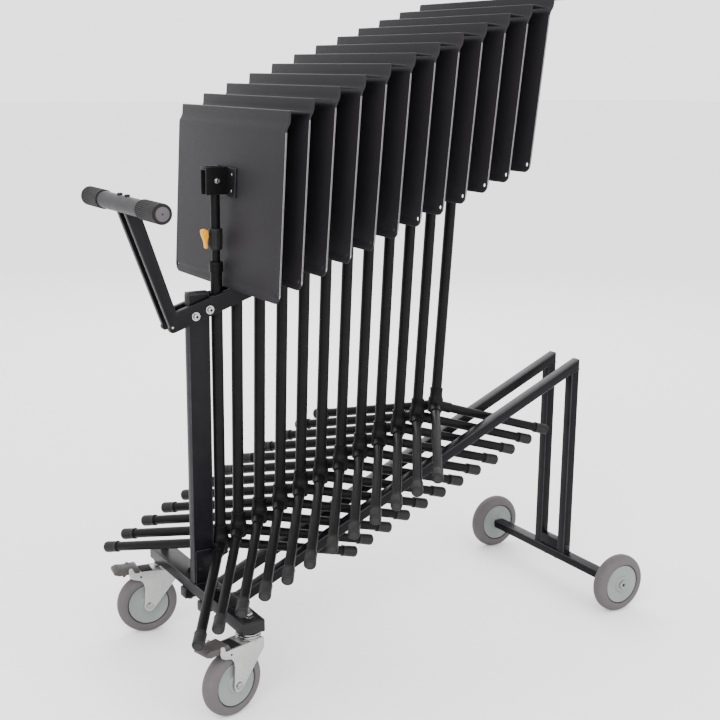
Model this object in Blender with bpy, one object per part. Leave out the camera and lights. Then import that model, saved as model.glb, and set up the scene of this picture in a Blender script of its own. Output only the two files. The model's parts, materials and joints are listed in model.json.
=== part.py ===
"""Wheeled storage trolley loaded with twelve nested orchestra stands.

Metres, +Z up. X runs along the trolley (+X to the fixed wheels), Y across it
(-Y is the near side). The origin is at the middle of the footprint, on the floor.
"""

import math

import bmesh
import bpy
from mathutils import Matrix, Vector

# Clearances, how far a joined shape reaches into its neighbour, and how far a cutter reaches past
TOUCH_GAP = 0.0003
RUNNING_GAP = 0.0001
EMBED = 0.001
CUTTER_REACH = 0.03

# Wheels and rear axle
WHEEL_RADIUS = 0.0625
WHEEL_HALF_WIDTH = 0.016
WHEEL_BOSS_RADIUS = 0.0165
WHEEL_DISH_INNER = 0.0185
WHEEL_DISH_OUTER = 0.0425
WHEEL_DISH_DEPTH = 0.0030
TYRE_SHOULDER_RADIUS = 0.0455
TYRE_SHOULDER_DROP = 0.0005
TREAD_DROP = 0.0080
AXLE_X = 0.9005
REAR_WHEEL_Y = 0.2184
PIN_RADIUS = 0.0055
PIN_ROOT = 0.010
PIN_CAP_RADIUS = 0.0095
PIN_CAP_TIP_RADIUS = 0.0080
PIN_CAP_SIDE = 0.003
PIN_CAP_HEIGHT = 0.0045
PIN_CAP_GAP = 0.0006
AXLE_BAR_GAP = 0.0010
AXLE_BAR_DEPTH = 0.026
AXLE_BAR_HEIGHT = 0.018
CROSS_PLATE_TOP = 0.096
CROSS_PLATE_LIFT = 0.005
CROSS_PLATE_INSET = 0.001

# Front crossbar
CROSSBAR_DEPTH = 0.0465
CROSSBAR_BOTTOM = 0.151
CROSSBAR_HEIGHT = 0.0236
CROSSBAR_LENGTH = 0.4326
STUD_RADIUS = 0.006
STUD_HOLE_BOTTOM = 0.110
STUD_HOLE_LENGTH = 0.100

# Rails, level under the crossbar and sloping behind it, and uprights
RAIL_ANGLE = math.radians(24.1)
RAIL_TOP_AT_FRONT = 0.1160
RAIL_DEPTH = 0.0206
RAIL_WIDTH = 0.0225
RAIL_Y = 0.0395
RAIL_START = -0.004
UPRIGHT_FRONT = 0.8907
UPRIGHT_DEPTH = 0.0204

# Post, its bracket and the handle
POST_DEPTH = 0.043
POST_WIDTH = 0.019
POST_TOP = 0.741
CHEEK_THICKNESS = 0.003
CHEEK_TOP = 0.242
CHEEK_FRONT = 0.003
CHEEK_BACK = 0.049
CHEEK_SLOPE_X = 0.036
CHEEK_SLOPE_DROP = 0.003
WEB_THICKNESS = 0.004
SHELF_END = 0.072
SHELF_ROOT = 0.014
ARM_INNER_Y = 0.0118
ARM_THICKNESS = 0.011
ARM_OUTLINE = (
    (-0.1236, 0.906),
    (-0.0430, 0.6795),
    (-0.0400, 0.6725),
    (-0.0330, 0.6725),
    (0.1350, 0.7305),
    (0.1300, 0.7585),
    (-0.0250, 0.7115),
    (-0.0965, 0.906),
)
ARM_BOLTS = ((0.009, 0.699), (0.037, 0.709))
ARM_BOSS_RADIUS = 0.008
ARM_BOSS_ROOT = 0.004
SADDLE_REACH = 0.05
HANDLE_X = -0.113
HANDLE_Z = 0.906
HANDLE_RADIUS = 0.0155
HANDLE_HALF_LENGTH = 0.165
GRIP_RADIUS = 0.0177
GRIP_START = 0.094
GRIP_END = 0.174
GRIP_CHAMFER = 0.0025

# Swivel casters; u runs from the swivel axis to the trailing side
CASTER_X = 0.0235
CASTER_Y = 0.192
CASTER_TRAIL = 0.040
CASTER_TURN_NEAR = math.radians(14.0)
CASTER_TURN_FAR = math.radians(-8.0)
FORK_TOP = 0.137
FORK_CROWN_BOTTOM = 0.1315
FORK_CROWN_DROP = 0.0005
FORK_CROWN_START = -0.0190
FORK_CROWN_END = 0.0660
FORK_HALF_WIDTH = 0.0212
FORK_PLATE = 0.0026
FORK_OUTLINE = (
    (-0.0200, 0.1370),
    (-0.0200, 0.1170),
    (0.0300, 0.0550),
    (0.0340, 0.0512),
    (0.0400, 0.0495),
    (0.0465, 0.0520),
    (0.0500, 0.0590),
    (0.0480, 0.1000),
    (0.0505, 0.1120),
    (0.0565, 0.1190),
    (0.0700, 0.1225),
    (0.0780, 0.1270),
    (0.0805, 0.1360),
    (0.0800, 0.1465),
    (0.0760, 0.1490),
    (0.0715, 0.1465),
    (0.0690, 0.1370),
)
SWIVEL_HEAD_RADIUS = 0.0235
SWIVEL_HEAD_TOP = 0.1452
SWIVEL_HEAD_FLARE = 0.004
SWIVEL_HEAD_ROOT = 0.003
SWIVEL_HEAD_CHAMFER = 0.0015
WHEEL_BOLT_RADIUS = 0.0085
WHEEL_BOLT_HEIGHT = 0.0045
STEM_PLATE_RADIUS = 0.0225
NUT_RADIUS = 0.0095
NUT_HEIGHT = 0.0095
STUD_TIP_RADIUS = 0.0050
STUD_TIP_START = 0.0100
STUD_TIP_END = 0.0150
PEDAL_OUTLINE = (
    (0.1100, 0.1380),
    (0.1090, 0.1440),
    (0.1000, 0.1475),
    (0.0880, 0.1462),
    (0.0780, 0.1462),
    (0.0660, 0.1475),
    (0.0600, 0.1470),
    (0.0560, 0.1400),
    (0.0570, 0.1376),
    (0.0690, 0.1376),
    (0.0800, 0.1345),
    (0.1000, 0.1340),
)
PEDAL_AXIS_U = 0.0745
PEDAL_AXIS_Z = 0.1415

# Nesting of the stands: each one is set from the one before it
STAND_COUNT = 12
STAND_X = 0.061
STAND_HUB_Z = 0.246
FIRST_STEP_X = 0.0385
NEST_STEP_X = 0.0455
NEST_STEP_Z = 0.0203
NEST_LEAN = math.radians(0.33)

# One stand, measured from the point where its legs meet
HUB_RADIUS = 0.016
HUB_TOP = 0.016
HUB_BOTTOM = -0.0155
MAST_RADIUS = 0.011
MAST_TOP = 0.547
COLLAR_RADIUS = 0.013
COLLAR_HEIGHT = 0.020
BORE_BOTTOM = 0.200
LEG_SLOPE = math.radians(14.05)
LEG_YAW = math.radians(-2.9)
LEG_START = 0.007
LEG_LENGTH = 0.3068
LEG_RADIUS = 0.0095
FOOT_RADIUS = 0.0115
FOOT_LENGTH = 0.034
ROD_RADIUS = 0.0080
ROD_BOTTOM = 0.220
CLUTCH_BOTTOM = 0.569
CLUTCH_TOP = 0.609
CLUTCH_RADIUS = 0.013
RISER_RADIUS = 0.009
RISER_TOP = 0.712
TILT_PIN_Z = 0.695
TILT_PIN_RADIUS = 0.004
TILT_PIN_REACH = 0.004
EAR_INNER_Y = 0.0095
EAR_OUTER_Y = 0.0115
EAR_BOTTOM = 0.670
EAR_TOP = 0.720
EAR_FRONT = -0.0105
FIRST_EAR_FRONT = -0.0225
EAR_CHAMFER = 0.004
LEVER_PIVOT = (-0.017, 0, 0.602)
LEVER_HALF_WIDTH = 0.004
LEVER_OUTLINE = (
    (-0.0155, 0.6050),
    (-0.0240, 0.6095),
    (-0.0300, 0.6060),
    (-0.0290, 0.5920),
    (-0.0225, 0.5730),
    (-0.0180, 0.5715),
    (-0.0155, 0.5760),
    (-0.0138, 0.5920),
)

# Desk panel; s runs up the panel, n is the distance behind its back face
DESK_BOTTOM_X = 0.0150
FIRST_DESK_BOTTOM_X = 0.0134
DESK_BOTTOM_Z = 0.500
DESK_TILT = math.radians(2.9)
DESK_HEIGHT = 0.326
DESK_WIDTH = 0.440
DESK_THICKNESS = 0.0035
JOGGLE_START = 0.294
JOGGLE_END = 0.306
JOGGLE_STEP = 0.006
LEDGE_LENGTH = 0.038
LEDGE_THICKNESS = 0.0025
CORNER_RADIUS = 0.018
CORNER_CUT_MARGIN = 0.01
CORNER_CUT_DEPTH = 0.02
PLATE_WIDTH = 0.090
PLATE_BOTTOM = 0.166
PLATE_TOP = 0.219
PLATE_THICKNESS = 0.004

# Facets
WHEEL_SEGMENTS = 24
ROUND_SEGMENTS = 16
MAST_SEGMENTS = 12
LEG_SEGMENTS = 8
CORNER_STEPS = 3
SHARP_ANGLE = math.radians(35)

X_MIDDLE = (HANDLE_X - GRIP_RADIUS + AXLE_X + WHEEL_RADIUS) / 2
CROSSBAR_TOP = CROSSBAR_BOTTOM + CROSSBAR_HEIGHT
AXES = {"X": Vector((1, 0, 0)), "Y": Vector((0, 1, 0)), "Z": Vector((0, 0, 1))}


def rail_top(x):
    """Height at x of the line that the sloping rails' top face is on."""
    return RAIL_TOP_AT_FRONT + math.tan(RAIL_ANGLE) * x


def rail_bottom(x):
    """Height at x of the line that the sloping rails' lower face is on."""
    return rail_top(x) - RAIL_DEPTH / math.cos(RAIL_ANGLE)


def clear_scene():
    """Remove everything the start-up scene holds."""
    for obj in list(bpy.data.objects):
        bpy.data.objects.remove(obj, do_unlink=True)


def make_material(name, colour, metallic, roughness):
    """A plain Principled material."""
    material = bpy.data.materials.new(name)
    material.use_nodes = True
    shader = material.node_tree.nodes["Principled BSDF"]
    shader.inputs["Base Color"].default_value = (*colour, 1.0)
    shader.inputs["Metallic"].default_value = metallic
    shader.inputs["Roughness"].default_value = roughness
    return material


def make_mesh(name, points, faces):
    """A closed mesh with its faces turned outward."""
    mesh = bpy.data.meshes.new(name)
    mesh.from_pydata([tuple(point) for point in points], [], faces)
    work = bmesh.new()
    work.from_mesh(mesh)
    bmesh.ops.recalc_face_normals(work, faces=work.faces)
    work.to_mesh(mesh)
    work.free()
    return mesh


def lathe(name, profile, segments, origin=(0, 0, 0), axis="Z", ring=False):
    """Turn (radius, height) pairs about an axis through origin."""
    along = AXES[axis] if isinstance(axis, str) else Vector(axis).normalized()
    side = AXES["Y"] if abs(along.z) > 0.9 else AXES["Z"]
    first = side.cross(along).normalized()
    second = along.cross(first)
    base = Vector(origin)
    points = []
    rows = []
    for radius, height in profile:
        centre = base + along * height
        if radius == 0:
            rows.append([len(points)] * segments)
            points.append(centre)
            continue
        rows.append(list(range(len(points), len(points) + segments)))
        for step in range(segments):
            angle = 2 * math.pi * step / segments
            reach = first * math.cos(angle) + second * math.sin(angle)
            points.append(centre + reach * radius)
    pairs = list(zip(rows, rows[1:]))
    if ring:
        pairs.append((rows[-1], rows[0]))
    faces = []
    for low, high in pairs:
        for step in range(segments):
            after = (step + 1) % segments
            corners = [low[step], low[after], high[after], high[step]]
            faces.append(list(dict.fromkeys(corners)))
    return make_mesh(name, points, faces)


def prism(name, outline, across, low, high, frame=None):
    """Extrude an outline of (a, b) pairs from low to high along the third axis."""
    points = []
    for depth in (low, high):
        for first, second in outline:
            corner = (depth, first, second) if across == "X" else (first, depth, second)
            points.append(Vector(corner))
    if frame is not None:
        points = [frame @ point for point in points]
    count = len(outline)
    faces = [list(range(count)), list(range(2 * count - 1, count - 1, -1))]
    for index in range(count):
        after = (index + 1) % count
        faces.append([index, after, after + count, index + count])
    return make_mesh(name, points, faces)


def box(name, low, high):
    """A block between two corners."""
    outline = [(low[0], low[2]), (high[0], low[2]), (high[0], high[2]), (low[0], high[2])]
    return prism(name, outline, "Y", low[1], high[1])


def combine(name, body, joined=(), cut=()):
    """Join meshes to body, take others away, and return one clean mesh."""
    holder = bpy.data.objects.new(name, body)
    bpy.context.scene.collection.objects.link(holder)
    helpers = []
    for operation, meshes in (("UNION", joined), ("DIFFERENCE", cut)):
        for mesh in meshes:
            helper = bpy.data.objects.new(mesh.name, mesh)
            bpy.context.scene.collection.objects.link(helper)
            helpers.append(helper)
            modifier = holder.modifiers.new(operation.title(), "BOOLEAN")
            modifier.operation = operation
            modifier.solver = "EXACT"
            modifier.object = helper
    bpy.context.view_layer.update()
    graph = bpy.context.evaluated_depsgraph_get()
    result = bpy.data.meshes.new_from_object(holder.evaluated_get(graph))
    result.name = name
    result.materials.clear()
    for obj in [holder, *helpers]:
        bpy.data.objects.remove(obj, do_unlink=True)
    return result


def add_node(name, mesh, material, frame, pivot=(0, 0, 0)):
    """Link mesh as one named object, its origin at pivot in the given frame."""
    mesh.name = name
    mesh.materials.clear()
    mesh.materials.append(material)
    mesh.transform(Matrix.Translation(-Vector(pivot)))
    mesh.polygons.foreach_set("use_smooth", [True] * len(mesh.polygons))
    mesh.set_sharp_from_angle(angle=SHARP_ANGLE)
    obj = bpy.data.objects.new(name, mesh)
    obj.matrix_world = frame @ Matrix.Translation(pivot)
    bpy.context.scene.collection.objects.link(obj)
    return obj


def wheel_mesh(name):
    """A tyred wheel about the Y axis with a running bore."""
    half = WHEEL_HALF_WIDTH
    side = (
        (PIN_RADIUS + RUNNING_GAP, half),
        (WHEEL_BOSS_RADIUS, half),
        (WHEEL_DISH_INNER, half - WHEEL_DISH_DEPTH),
        (WHEEL_DISH_OUTER, half - WHEEL_DISH_DEPTH),
        (TYRE_SHOULDER_RADIUS, half - TYRE_SHOULDER_DROP),
        (WHEEL_RADIUS, half - TREAD_DROP),
    )
    profile = [(radius, -height) for radius, height in side]
    profile += [(radius, height) for radius, height in reversed(side)]
    return lathe(name, profile, WHEEL_SEGMENTS, axis="Y", ring=True)


def add_frame_parts(frame, paint, dark_rubber, grey_tube):
    """Crossbar, rails, uprights, axle bar, post, its bracket and the handle."""
    half = CROSSBAR_LENGTH / 2
    bar = box("bar", (0, -half, CROSSBAR_BOTTOM), (CROSSBAR_DEPTH, half, CROSSBAR_TOP))
    bore = STUD_RADIUS + RUNNING_GAP
    profile = ((0, 0), (bore, 0), (bore, STUD_HOLE_LENGTH), (0, STUD_HOLE_LENGTH))
    holes = [
        lathe("hole", profile, ROUND_SEGMENTS, (CASTER_X, side * CASTER_Y, STUD_HOLE_BOTTOM))
        for side in (-1, 1)
    ]
    add_node("crossbar_front", combine("bar_cut", bar, cut=holes), paint, frame)
    rail_end = UPRIGHT_FRONT - TOUCH_GAP
    seat = CROSSBAR_BOTTOM - TOUCH_GAP
    under = seat - RAIL_DEPTH
    rise = math.tan(RAIL_ANGLE)
    rail = (
        (RAIL_START, under),
        ((under - rail_bottom(0)) / rise, under),
        (rail_end, rail_bottom(rail_end)),
        (rail_end, rail_top(rail_end)),
        ((seat - rail_top(0)) / rise, seat),
        (RAIL_START, seat),
    )
    bar_top = WHEEL_RADIUS + AXLE_BAR_HEIGHT / 2
    back = UPRIGHT_FRONT + UPRIGHT_DEPTH
    upright = (
        (UPRIGHT_FRONT, bar_top + TOUCH_GAP),
        (back, bar_top + TOUCH_GAP),
        (back, rail_top(back)),
        (UPRIGHT_FRONT, rail_top(UPRIGHT_FRONT)),
    )
    for side, label in ((-1, "near"), (1, "far")):
        low = side * RAIL_Y - RAIL_WIDTH / 2
        high = side * RAIL_Y + RAIL_WIDTH / 2
        add_node("rail_" + label, prism("rail", rail, "Y", low, high), paint, frame)
        add_node("upright_" + label, prism("upright", upright, "Y", low, high), paint, frame)
    add_axle_bar(frame, paint)
    add_post(frame, paint)
    add_handle(frame, paint, dark_rubber, grey_tube)


def add_axle_bar(frame, paint):
    """Rear bar with its cross plate and the two wheel pins."""
    end = REAR_WHEEL_Y - WHEEL_HALF_WIDTH - AXLE_BAR_GAP
    low_x = AXLE_X - AXLE_BAR_DEPTH / 2
    high_x = AXLE_X + AXLE_BAR_DEPTH / 2
    low_z = WHEEL_RADIUS - AXLE_BAR_HEIGHT / 2
    high_z = WHEEL_RADIUS + AXLE_BAR_HEIGHT / 2
    bar = box("bar", (low_x, -end, low_z), (high_x, end, high_z))
    reach = RAIL_Y - RAIL_WIDTH / 2 - TOUCH_GAP
    plate = box(
        "plate",
        (UPRIGHT_FRONT + CROSS_PLATE_INSET, -reach, low_z + CROSS_PLATE_LIFT),
        (UPRIGHT_FRONT + UPRIGHT_DEPTH - CROSS_PLATE_INSET, reach, CROSS_PLATE_TOP),
    )
    boss = REAR_WHEEL_Y + WHEEL_HALF_WIDTH + PIN_CAP_GAP
    profile = (
        (0, end - PIN_ROOT),
        (PIN_RADIUS, end - PIN_ROOT),
        (PIN_RADIUS, boss),
        (PIN_CAP_RADIUS, boss),
        (PIN_CAP_RADIUS, boss + PIN_CAP_SIDE),
        (PIN_CAP_TIP_RADIUS, boss + PIN_CAP_HEIGHT),
        (0, boss + PIN_CAP_HEIGHT),
    )
    origin = (AXLE_X, 0, WHEEL_RADIUS)
    pins = [lathe("pin", profile, MAST_SEGMENTS, origin, (0, side, 0)) for side in (-1, 1)]
    add_node("axle_bar", combine("axle", bar, [plate, *pins]), paint, frame)


def add_post(frame, paint):
    """The flat post and the cheeked bracket that holds its foot and the first hub."""
    foot = CROSSBAR_TOP + TOUCH_GAP
    low = (0, -POST_WIDTH / 2, foot)
    high = (POST_DEPTH, POST_WIDTH / 2, POST_TOP)
    add_node("post", box("post", low, high), paint, frame)
    inner = POST_WIDTH / 2 + TOUCH_GAP
    outer = inner + CHEEK_THICKNESS
    rest = STAND_HUB_Z + HUB_BOTTOM - TOUCH_GAP
    cheek = (
        (CHEEK_FRONT, foot),
        (CHEEK_BACK, foot),
        (CHEEK_BACK, rest - CHEEK_SLOPE_DROP),
        (CHEEK_SLOPE_X, CHEEK_TOP),
        (CHEEK_FRONT, CHEEK_TOP),
    )
    back = POST_DEPTH + TOUCH_GAP
    web = (
        (back, foot + EMBED),
        (back + WEB_THICKNESS, foot + EMBED),
        (back + WEB_THICKNESS, rest - SHELF_ROOT),
        (SHELF_END, rest - WEB_THICKNESS),
        (SHELF_END, rest),
        (back, rest),
    )
    near = prism("cheek", cheek, "Y", -outer, -inner)
    far = prism("cheek", cheek, "Y", inner, outer)
    seat = prism("seat", web, "Y", -outer + EMBED, outer - EMBED)
    add_node("post_bracket", combine("bracket", seat, [near, far]), paint, frame)


def add_handle(frame, paint, dark_rubber, grey_tube):
    """Two bent arms, the cross tube and its end grips."""
    origin = (HANDLE_X, 0, HANDLE_Z)
    bore = HANDLE_RADIUS + TOUCH_GAP
    hollow = ((0, -SADDLE_REACH), (bore, -SADDLE_REACH), (bore, SADDLE_REACH), (0, SADDLE_REACH))
    saddle = lathe("saddle", hollow, ROUND_SEGMENTS, origin, "Y")
    start = POST_WIDTH / 2 + TOUCH_GAP
    root = ARM_INNER_Y + ARM_BOSS_ROOT
    boss = ((0, start), (ARM_BOSS_RADIUS, start), (ARM_BOSS_RADIUS, root), (0, root))
    for side, label in ((-1, "near"), (1, "far")):
        ends = sorted((side * ARM_INNER_Y, side * (ARM_INNER_Y + ARM_THICKNESS)))
        arm = prism("arm", ARM_OUTLINE, "Y", *ends)
        bosses = [
            lathe("boss", boss, LEG_SEGMENTS, (x, 0, z), (0, side, 0)) for x, z in ARM_BOLTS
        ]
        mesh = combine("arm_cut", arm, bosses, [saddle.copy()])
        add_node("handle_arm_" + label, mesh, paint, frame)
    pole = (
        (0, -HANDLE_HALF_LENGTH),
        (HANDLE_RADIUS, -HANDLE_HALF_LENGTH),
        (HANDLE_RADIUS, HANDLE_HALF_LENGTH),
        (0, HANDLE_HALF_LENGTH),
    )
    add_node("handle_tube", lathe("tube", pole, ROUND_SEGMENTS, origin, "Y"), grey_tube, frame)
    grip = (
        (0, GRIP_END),
        (GRIP_RADIUS - GRIP_CHAMFER, GRIP_END),
        (GRIP_RADIUS, GRIP_END - GRIP_CHAMFER),
        (GRIP_RADIUS, GRIP_START),
        (bore, GRIP_START),
        (bore, HANDLE_HALF_LENGTH + TOUCH_GAP),
        (0, HANDLE_HALF_LENGTH + TOUCH_GAP),
    )
    for side, label in ((-1, "near"), (1, "far")):
        mesh = lathe("grip", grip, ROUND_SEGMENTS, origin, (0, side, 0))
        add_node("handle_grip_" + label, mesh, dark_rubber, frame)


def add_rear_wheels(frame, tyre):
    """The two fixed wheels, each with its origin on the axle."""
    for side, label in ((-1, "near"), (1, "far")):
        place = frame @ Matrix.Translation((AXLE_X, side * REAR_WHEEL_Y, WHEEL_RADIUS))
        add_node("wheel_rear_" + label, wheel_mesh("wheel"), tyre, place)


def fork_mesh():
    """Swivel head, crown, side plates and wheel bolt as one body."""
    inner = FORK_HALF_WIDTH - FORK_PLATE
    crown = box(
        "crown",
        (FORK_CROWN_START, -FORK_HALF_WIDTH + EMBED, FORK_CROWN_BOTTOM),
        (FORK_CROWN_END, FORK_HALF_WIDTH - EMBED, FORK_TOP - FORK_CROWN_DROP),
    )
    head = lathe(
        "head",
        (
            (0, FORK_TOP - SWIVEL_HEAD_ROOT),
            (SWIVEL_HEAD_RADIUS - SWIVEL_HEAD_FLARE, FORK_TOP - SWIVEL_HEAD_ROOT),
            (SWIVEL_HEAD_RADIUS, FORK_TOP + SWIVEL_HEAD_ROOT),
            (SWIVEL_HEAD_RADIUS, SWIVEL_HEAD_TOP - SWIVEL_HEAD_CHAMFER),
            (SWIVEL_HEAD_RADIUS - SWIVEL_HEAD_CHAMFER, SWIVEL_HEAD_TOP),
            (0, SWIVEL_HEAD_TOP),
        ),
        ROUND_SEGMENTS,
    )
    plates = [
        prism("plate", FORK_OUTLINE, "Y", *sorted((side * inner, side * FORK_HALF_WIDTH)))
        for side in (-1, 1)
    ]
    reach = FORK_HALF_WIDTH + WHEEL_BOLT_HEIGHT
    root = FORK_HALF_WIDTH - EMBED
    bolt = lathe(
        "bolt",
        (
            (0, -reach),
            (WHEEL_BOLT_RADIUS, -reach),
            (WHEEL_BOLT_RADIUS, -root),
            (PIN_RADIUS, -root),
            (PIN_RADIUS, root),
            (WHEEL_BOLT_RADIUS, root),
            (WHEEL_BOLT_RADIUS, reach),
            (0, reach),
        ),
        MAST_SEGMENTS,
        (CASTER_TRAIL, 0, WHEEL_RADIUS),
        "Y",
    )
    return combine("fork", crown, [head, *plates, bolt])


def stem_mesh():
    """Fixed top plate, threaded stud and nut of a caster."""
    plate_top = CROSSBAR_BOTTOM - TOUCH_GAP
    plate_low = SWIVEL_HEAD_TOP + TOUCH_GAP
    nut = CROSSBAR_TOP + TOUCH_GAP
    profile = (
        (0, plate_low),
        (STEM_PLATE_RADIUS, plate_low),
        (STEM_PLATE_RADIUS, plate_top),
        (STUD_RADIUS, plate_top),
        (STUD_RADIUS, nut),
        (NUT_RADIUS, nut),
        (NUT_RADIUS, nut + NUT_HEIGHT),
        (STUD_TIP_RADIUS, nut + STUD_TIP_START),
        (STUD_TIP_RADIUS, nut + STUD_TIP_END),
        (0, nut + STUD_TIP_END),
    )
    return lathe("stem", profile, ROUND_SEGMENTS)


def add_casters(frame, steel, tyre, grey_plastic):
    """Two braked swivel casters under the ends of the crossbar."""
    for side, label, turn in ((-1, "near", CASTER_TURN_NEAR), (1, "far", CASTER_TURN_FAR)):
        pivot = frame @ Matrix.Translation((CASTER_X, side * CASTER_Y, 0))
        swung = pivot @ Matrix.Rotation(math.pi + turn, 4, "Z")
        name = "caster_" + label
        add_node(name + "_stem", stem_mesh(), steel, pivot)
        add_node(name + "_fork", fork_mesh(), steel, swung)
        place = swung @ Matrix.Translation((CASTER_TRAIL, 0, WHEEL_RADIUS))
        add_node(name + "_wheel", wheel_mesh("wheel"), tyre, place)
        half = FORK_HALF_WIDTH - FORK_PLATE - TOUCH_GAP
        pedal = prism("pedal", PEDAL_OUTLINE, "Y", -half, half)
        axis = (PEDAL_AXIS_U, 0, PEDAL_AXIS_Z)
        add_node(name + "_pedal", pedal, grey_plastic, swung, axis)


def base_mesh():
    """Hub, bored lower mast and three legs with thicker feet as one body."""
    bore = ROD_RADIUS + RUNNING_GAP
    collar_low = MAST_TOP - COLLAR_HEIGHT
    mast = lathe(
        "mast",
        (
            (0, HUB_BOTTOM),
            (HUB_RADIUS, HUB_BOTTOM),
            (HUB_RADIUS, HUB_TOP),
            (MAST_RADIUS, HUB_TOP),
            (MAST_RADIUS, collar_low),
            (COLLAR_RADIUS, collar_low),
            (COLLAR_RADIUS, MAST_TOP),
            (bore, MAST_TOP),
            (bore, BORE_BOTTOM),
            (0, BORE_BOTTOM),
        ),
        MAST_SEGMENTS,
    )
    leg = (
        (0, LEG_START),
        (LEG_RADIUS, LEG_START),
        (LEG_RADIUS, LEG_LENGTH - FOOT_LENGTH),
        (FOOT_RADIUS, LEG_LENGTH - FOOT_LENGTH),
        (FOOT_RADIUS, LEG_LENGTH),
        (0, LEG_LENGTH),
    )
    legs = []
    for turn in (0, 120, 240):
        level = math.cos(LEG_SLOPE)
        angle = math.radians(turn) + LEG_YAW
        axis = (level * math.cos(angle), level * math.sin(angle), -math.sin(LEG_SLOPE))
        legs.append(lathe("leg", leg, LEG_SEGMENTS, axis=axis))
    return combine("base", mast, legs)


def riser_mesh():
    """Inner rod, clutch body, upper tube and tilt pin as one body."""
    riser = lathe(
        "riser",
        (
            (0, ROD_BOTTOM),
            (ROD_RADIUS, ROD_BOTTOM),
            (ROD_RADIUS, CLUTCH_BOTTOM),
            (CLUTCH_RADIUS, CLUTCH_BOTTOM),
            (CLUTCH_RADIUS, CLUTCH_TOP),
            (RISER_RADIUS, CLUTCH_TOP),
            (RISER_RADIUS, RISER_TOP),
            (0, RISER_TOP),
        ),
        MAST_SEGMENTS,
    )
    reach = EAR_OUTER_Y + TILT_PIN_REACH
    pin = lathe(
        "pin",
        ((0, -reach), (TILT_PIN_RADIUS, -reach), (TILT_PIN_RADIUS, reach), (0, reach)),
        MAST_SEGMENTS,
        (0, 0, TILT_PIN_Z),
        "Y",
    )
    return combine("riser_full", riser, [pin])


def desk_frame(bottom_x):
    """Panel coordinates (n, y, s) seen from the stand's own origin."""
    move = Matrix.Translation((bottom_x, 0, DESK_BOTTOM_Z))
    return move @ Matrix.Rotation(DESK_TILT, 4, "Y")


def corner_cutter(side, frame):
    """Wedge outside one rounded lower corner of the panel."""
    edge = side * (DESK_WIDTH / 2 + TOUCH_GAP)
    outer = edge + side * CORNER_CUT_MARGIN
    outline = [(outer, -CORNER_CUT_MARGIN), (outer, CORNER_RADIUS)]
    for step in range(CORNER_STEPS + 1):
        angle = math.pi / 2 * step / CORNER_STEPS
        y = edge - side * CORNER_RADIUS * (1 - math.cos(angle))
        s = CORNER_RADIUS * (1 - math.sin(angle)) - TOUCH_GAP
        outline.append((y, s))
    outline.append((edge - side * CORNER_RADIUS, -CORNER_CUT_MARGIN))
    return prism("corner", outline, "X", -CORNER_CUT_DEPTH, CORNER_CUT_DEPTH, frame)


def desk_mesh(bottom_x, ear_front):
    """Folded panel with its ledge, fixing plate and pierced ears as one body."""
    frame = desk_frame(bottom_x)
    inner = DESK_THICKNESS
    tip = JOGGLE_STEP + LEDGE_LENGTH
    under = DESK_HEIGHT - LEDGE_THICKNESS
    outline = (
        (0, 0),
        (0, JOGGLE_START),
        (JOGGLE_STEP, JOGGLE_END),
        (JOGGLE_STEP, DESK_HEIGHT),
        (tip, DESK_HEIGHT),
        (tip, under),
        (JOGGLE_STEP + inner, under),
        (JOGGLE_STEP + inner, JOGGLE_END),
        (inner, JOGGLE_START),
        (inner, 0),
    )
    half = DESK_WIDTH / 2
    panel = prism("panel", outline, "Y", -half, half, frame)
    strip = (
        (-PLATE_THICKNESS, PLATE_BOTTOM),
        (-PLATE_THICKNESS, PLATE_TOP),
        (EMBED, PLATE_TOP),
        (EMBED, PLATE_BOTTOM),
    )
    plate = prism("plate", strip, "Y", -PLATE_WIDTH / 2, PLATE_WIDTH / 2, frame)
    low_back = bottom_x + (EAR_BOTTOM - DESK_BOTTOM_Z) * math.tan(DESK_TILT) - EMBED
    high_back = bottom_x + (EAR_TOP - DESK_BOTTOM_Z) * math.tan(DESK_TILT) - EMBED
    ear = (
        (ear_front + EAR_CHAMFER, EAR_BOTTOM),
        (low_back, EAR_BOTTOM),
        (high_back, EAR_TOP),
        (ear_front + EAR_CHAMFER, EAR_TOP),
        (ear_front, EAR_TOP - EAR_CHAMFER),
        (ear_front, EAR_BOTTOM + EAR_CHAMFER),
    )
    ears = [
        prism("ear", ear, "Y", *sorted((side * EAR_INNER_Y, side * EAR_OUTER_Y)))
        for side in (-1, 1)
    ]
    bore = TILT_PIN_RADIUS + RUNNING_GAP
    profile = ((0, -CUTTER_REACH), (bore, -CUTTER_REACH), (bore, CUTTER_REACH), (0, CUTTER_REACH))
    hole = lathe("hole", profile, MAST_SEGMENTS, (0, 0, TILT_PIN_Z), "Y")
    corners = [corner_cutter(side, frame) for side in (-1, 1)]
    return combine("desk", panel, [plate, *ears], [hole, *corners])


def stand_frames(frame):
    """One frame per stand, each set from the one before it."""
    lean = Matrix.Rotation(NEST_LEAN, 4, "Y")
    frames = [frame @ Matrix.Translation((STAND_X, 0, STAND_HUB_Z))]
    for number in range(1, STAND_COUNT):
        reach = FIRST_STEP_X if number == 1 else NEST_STEP_X
        frames.append(frames[-1] @ Matrix.Translation((reach, 0, NEST_STEP_Z)) @ lean)
    return frames


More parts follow.
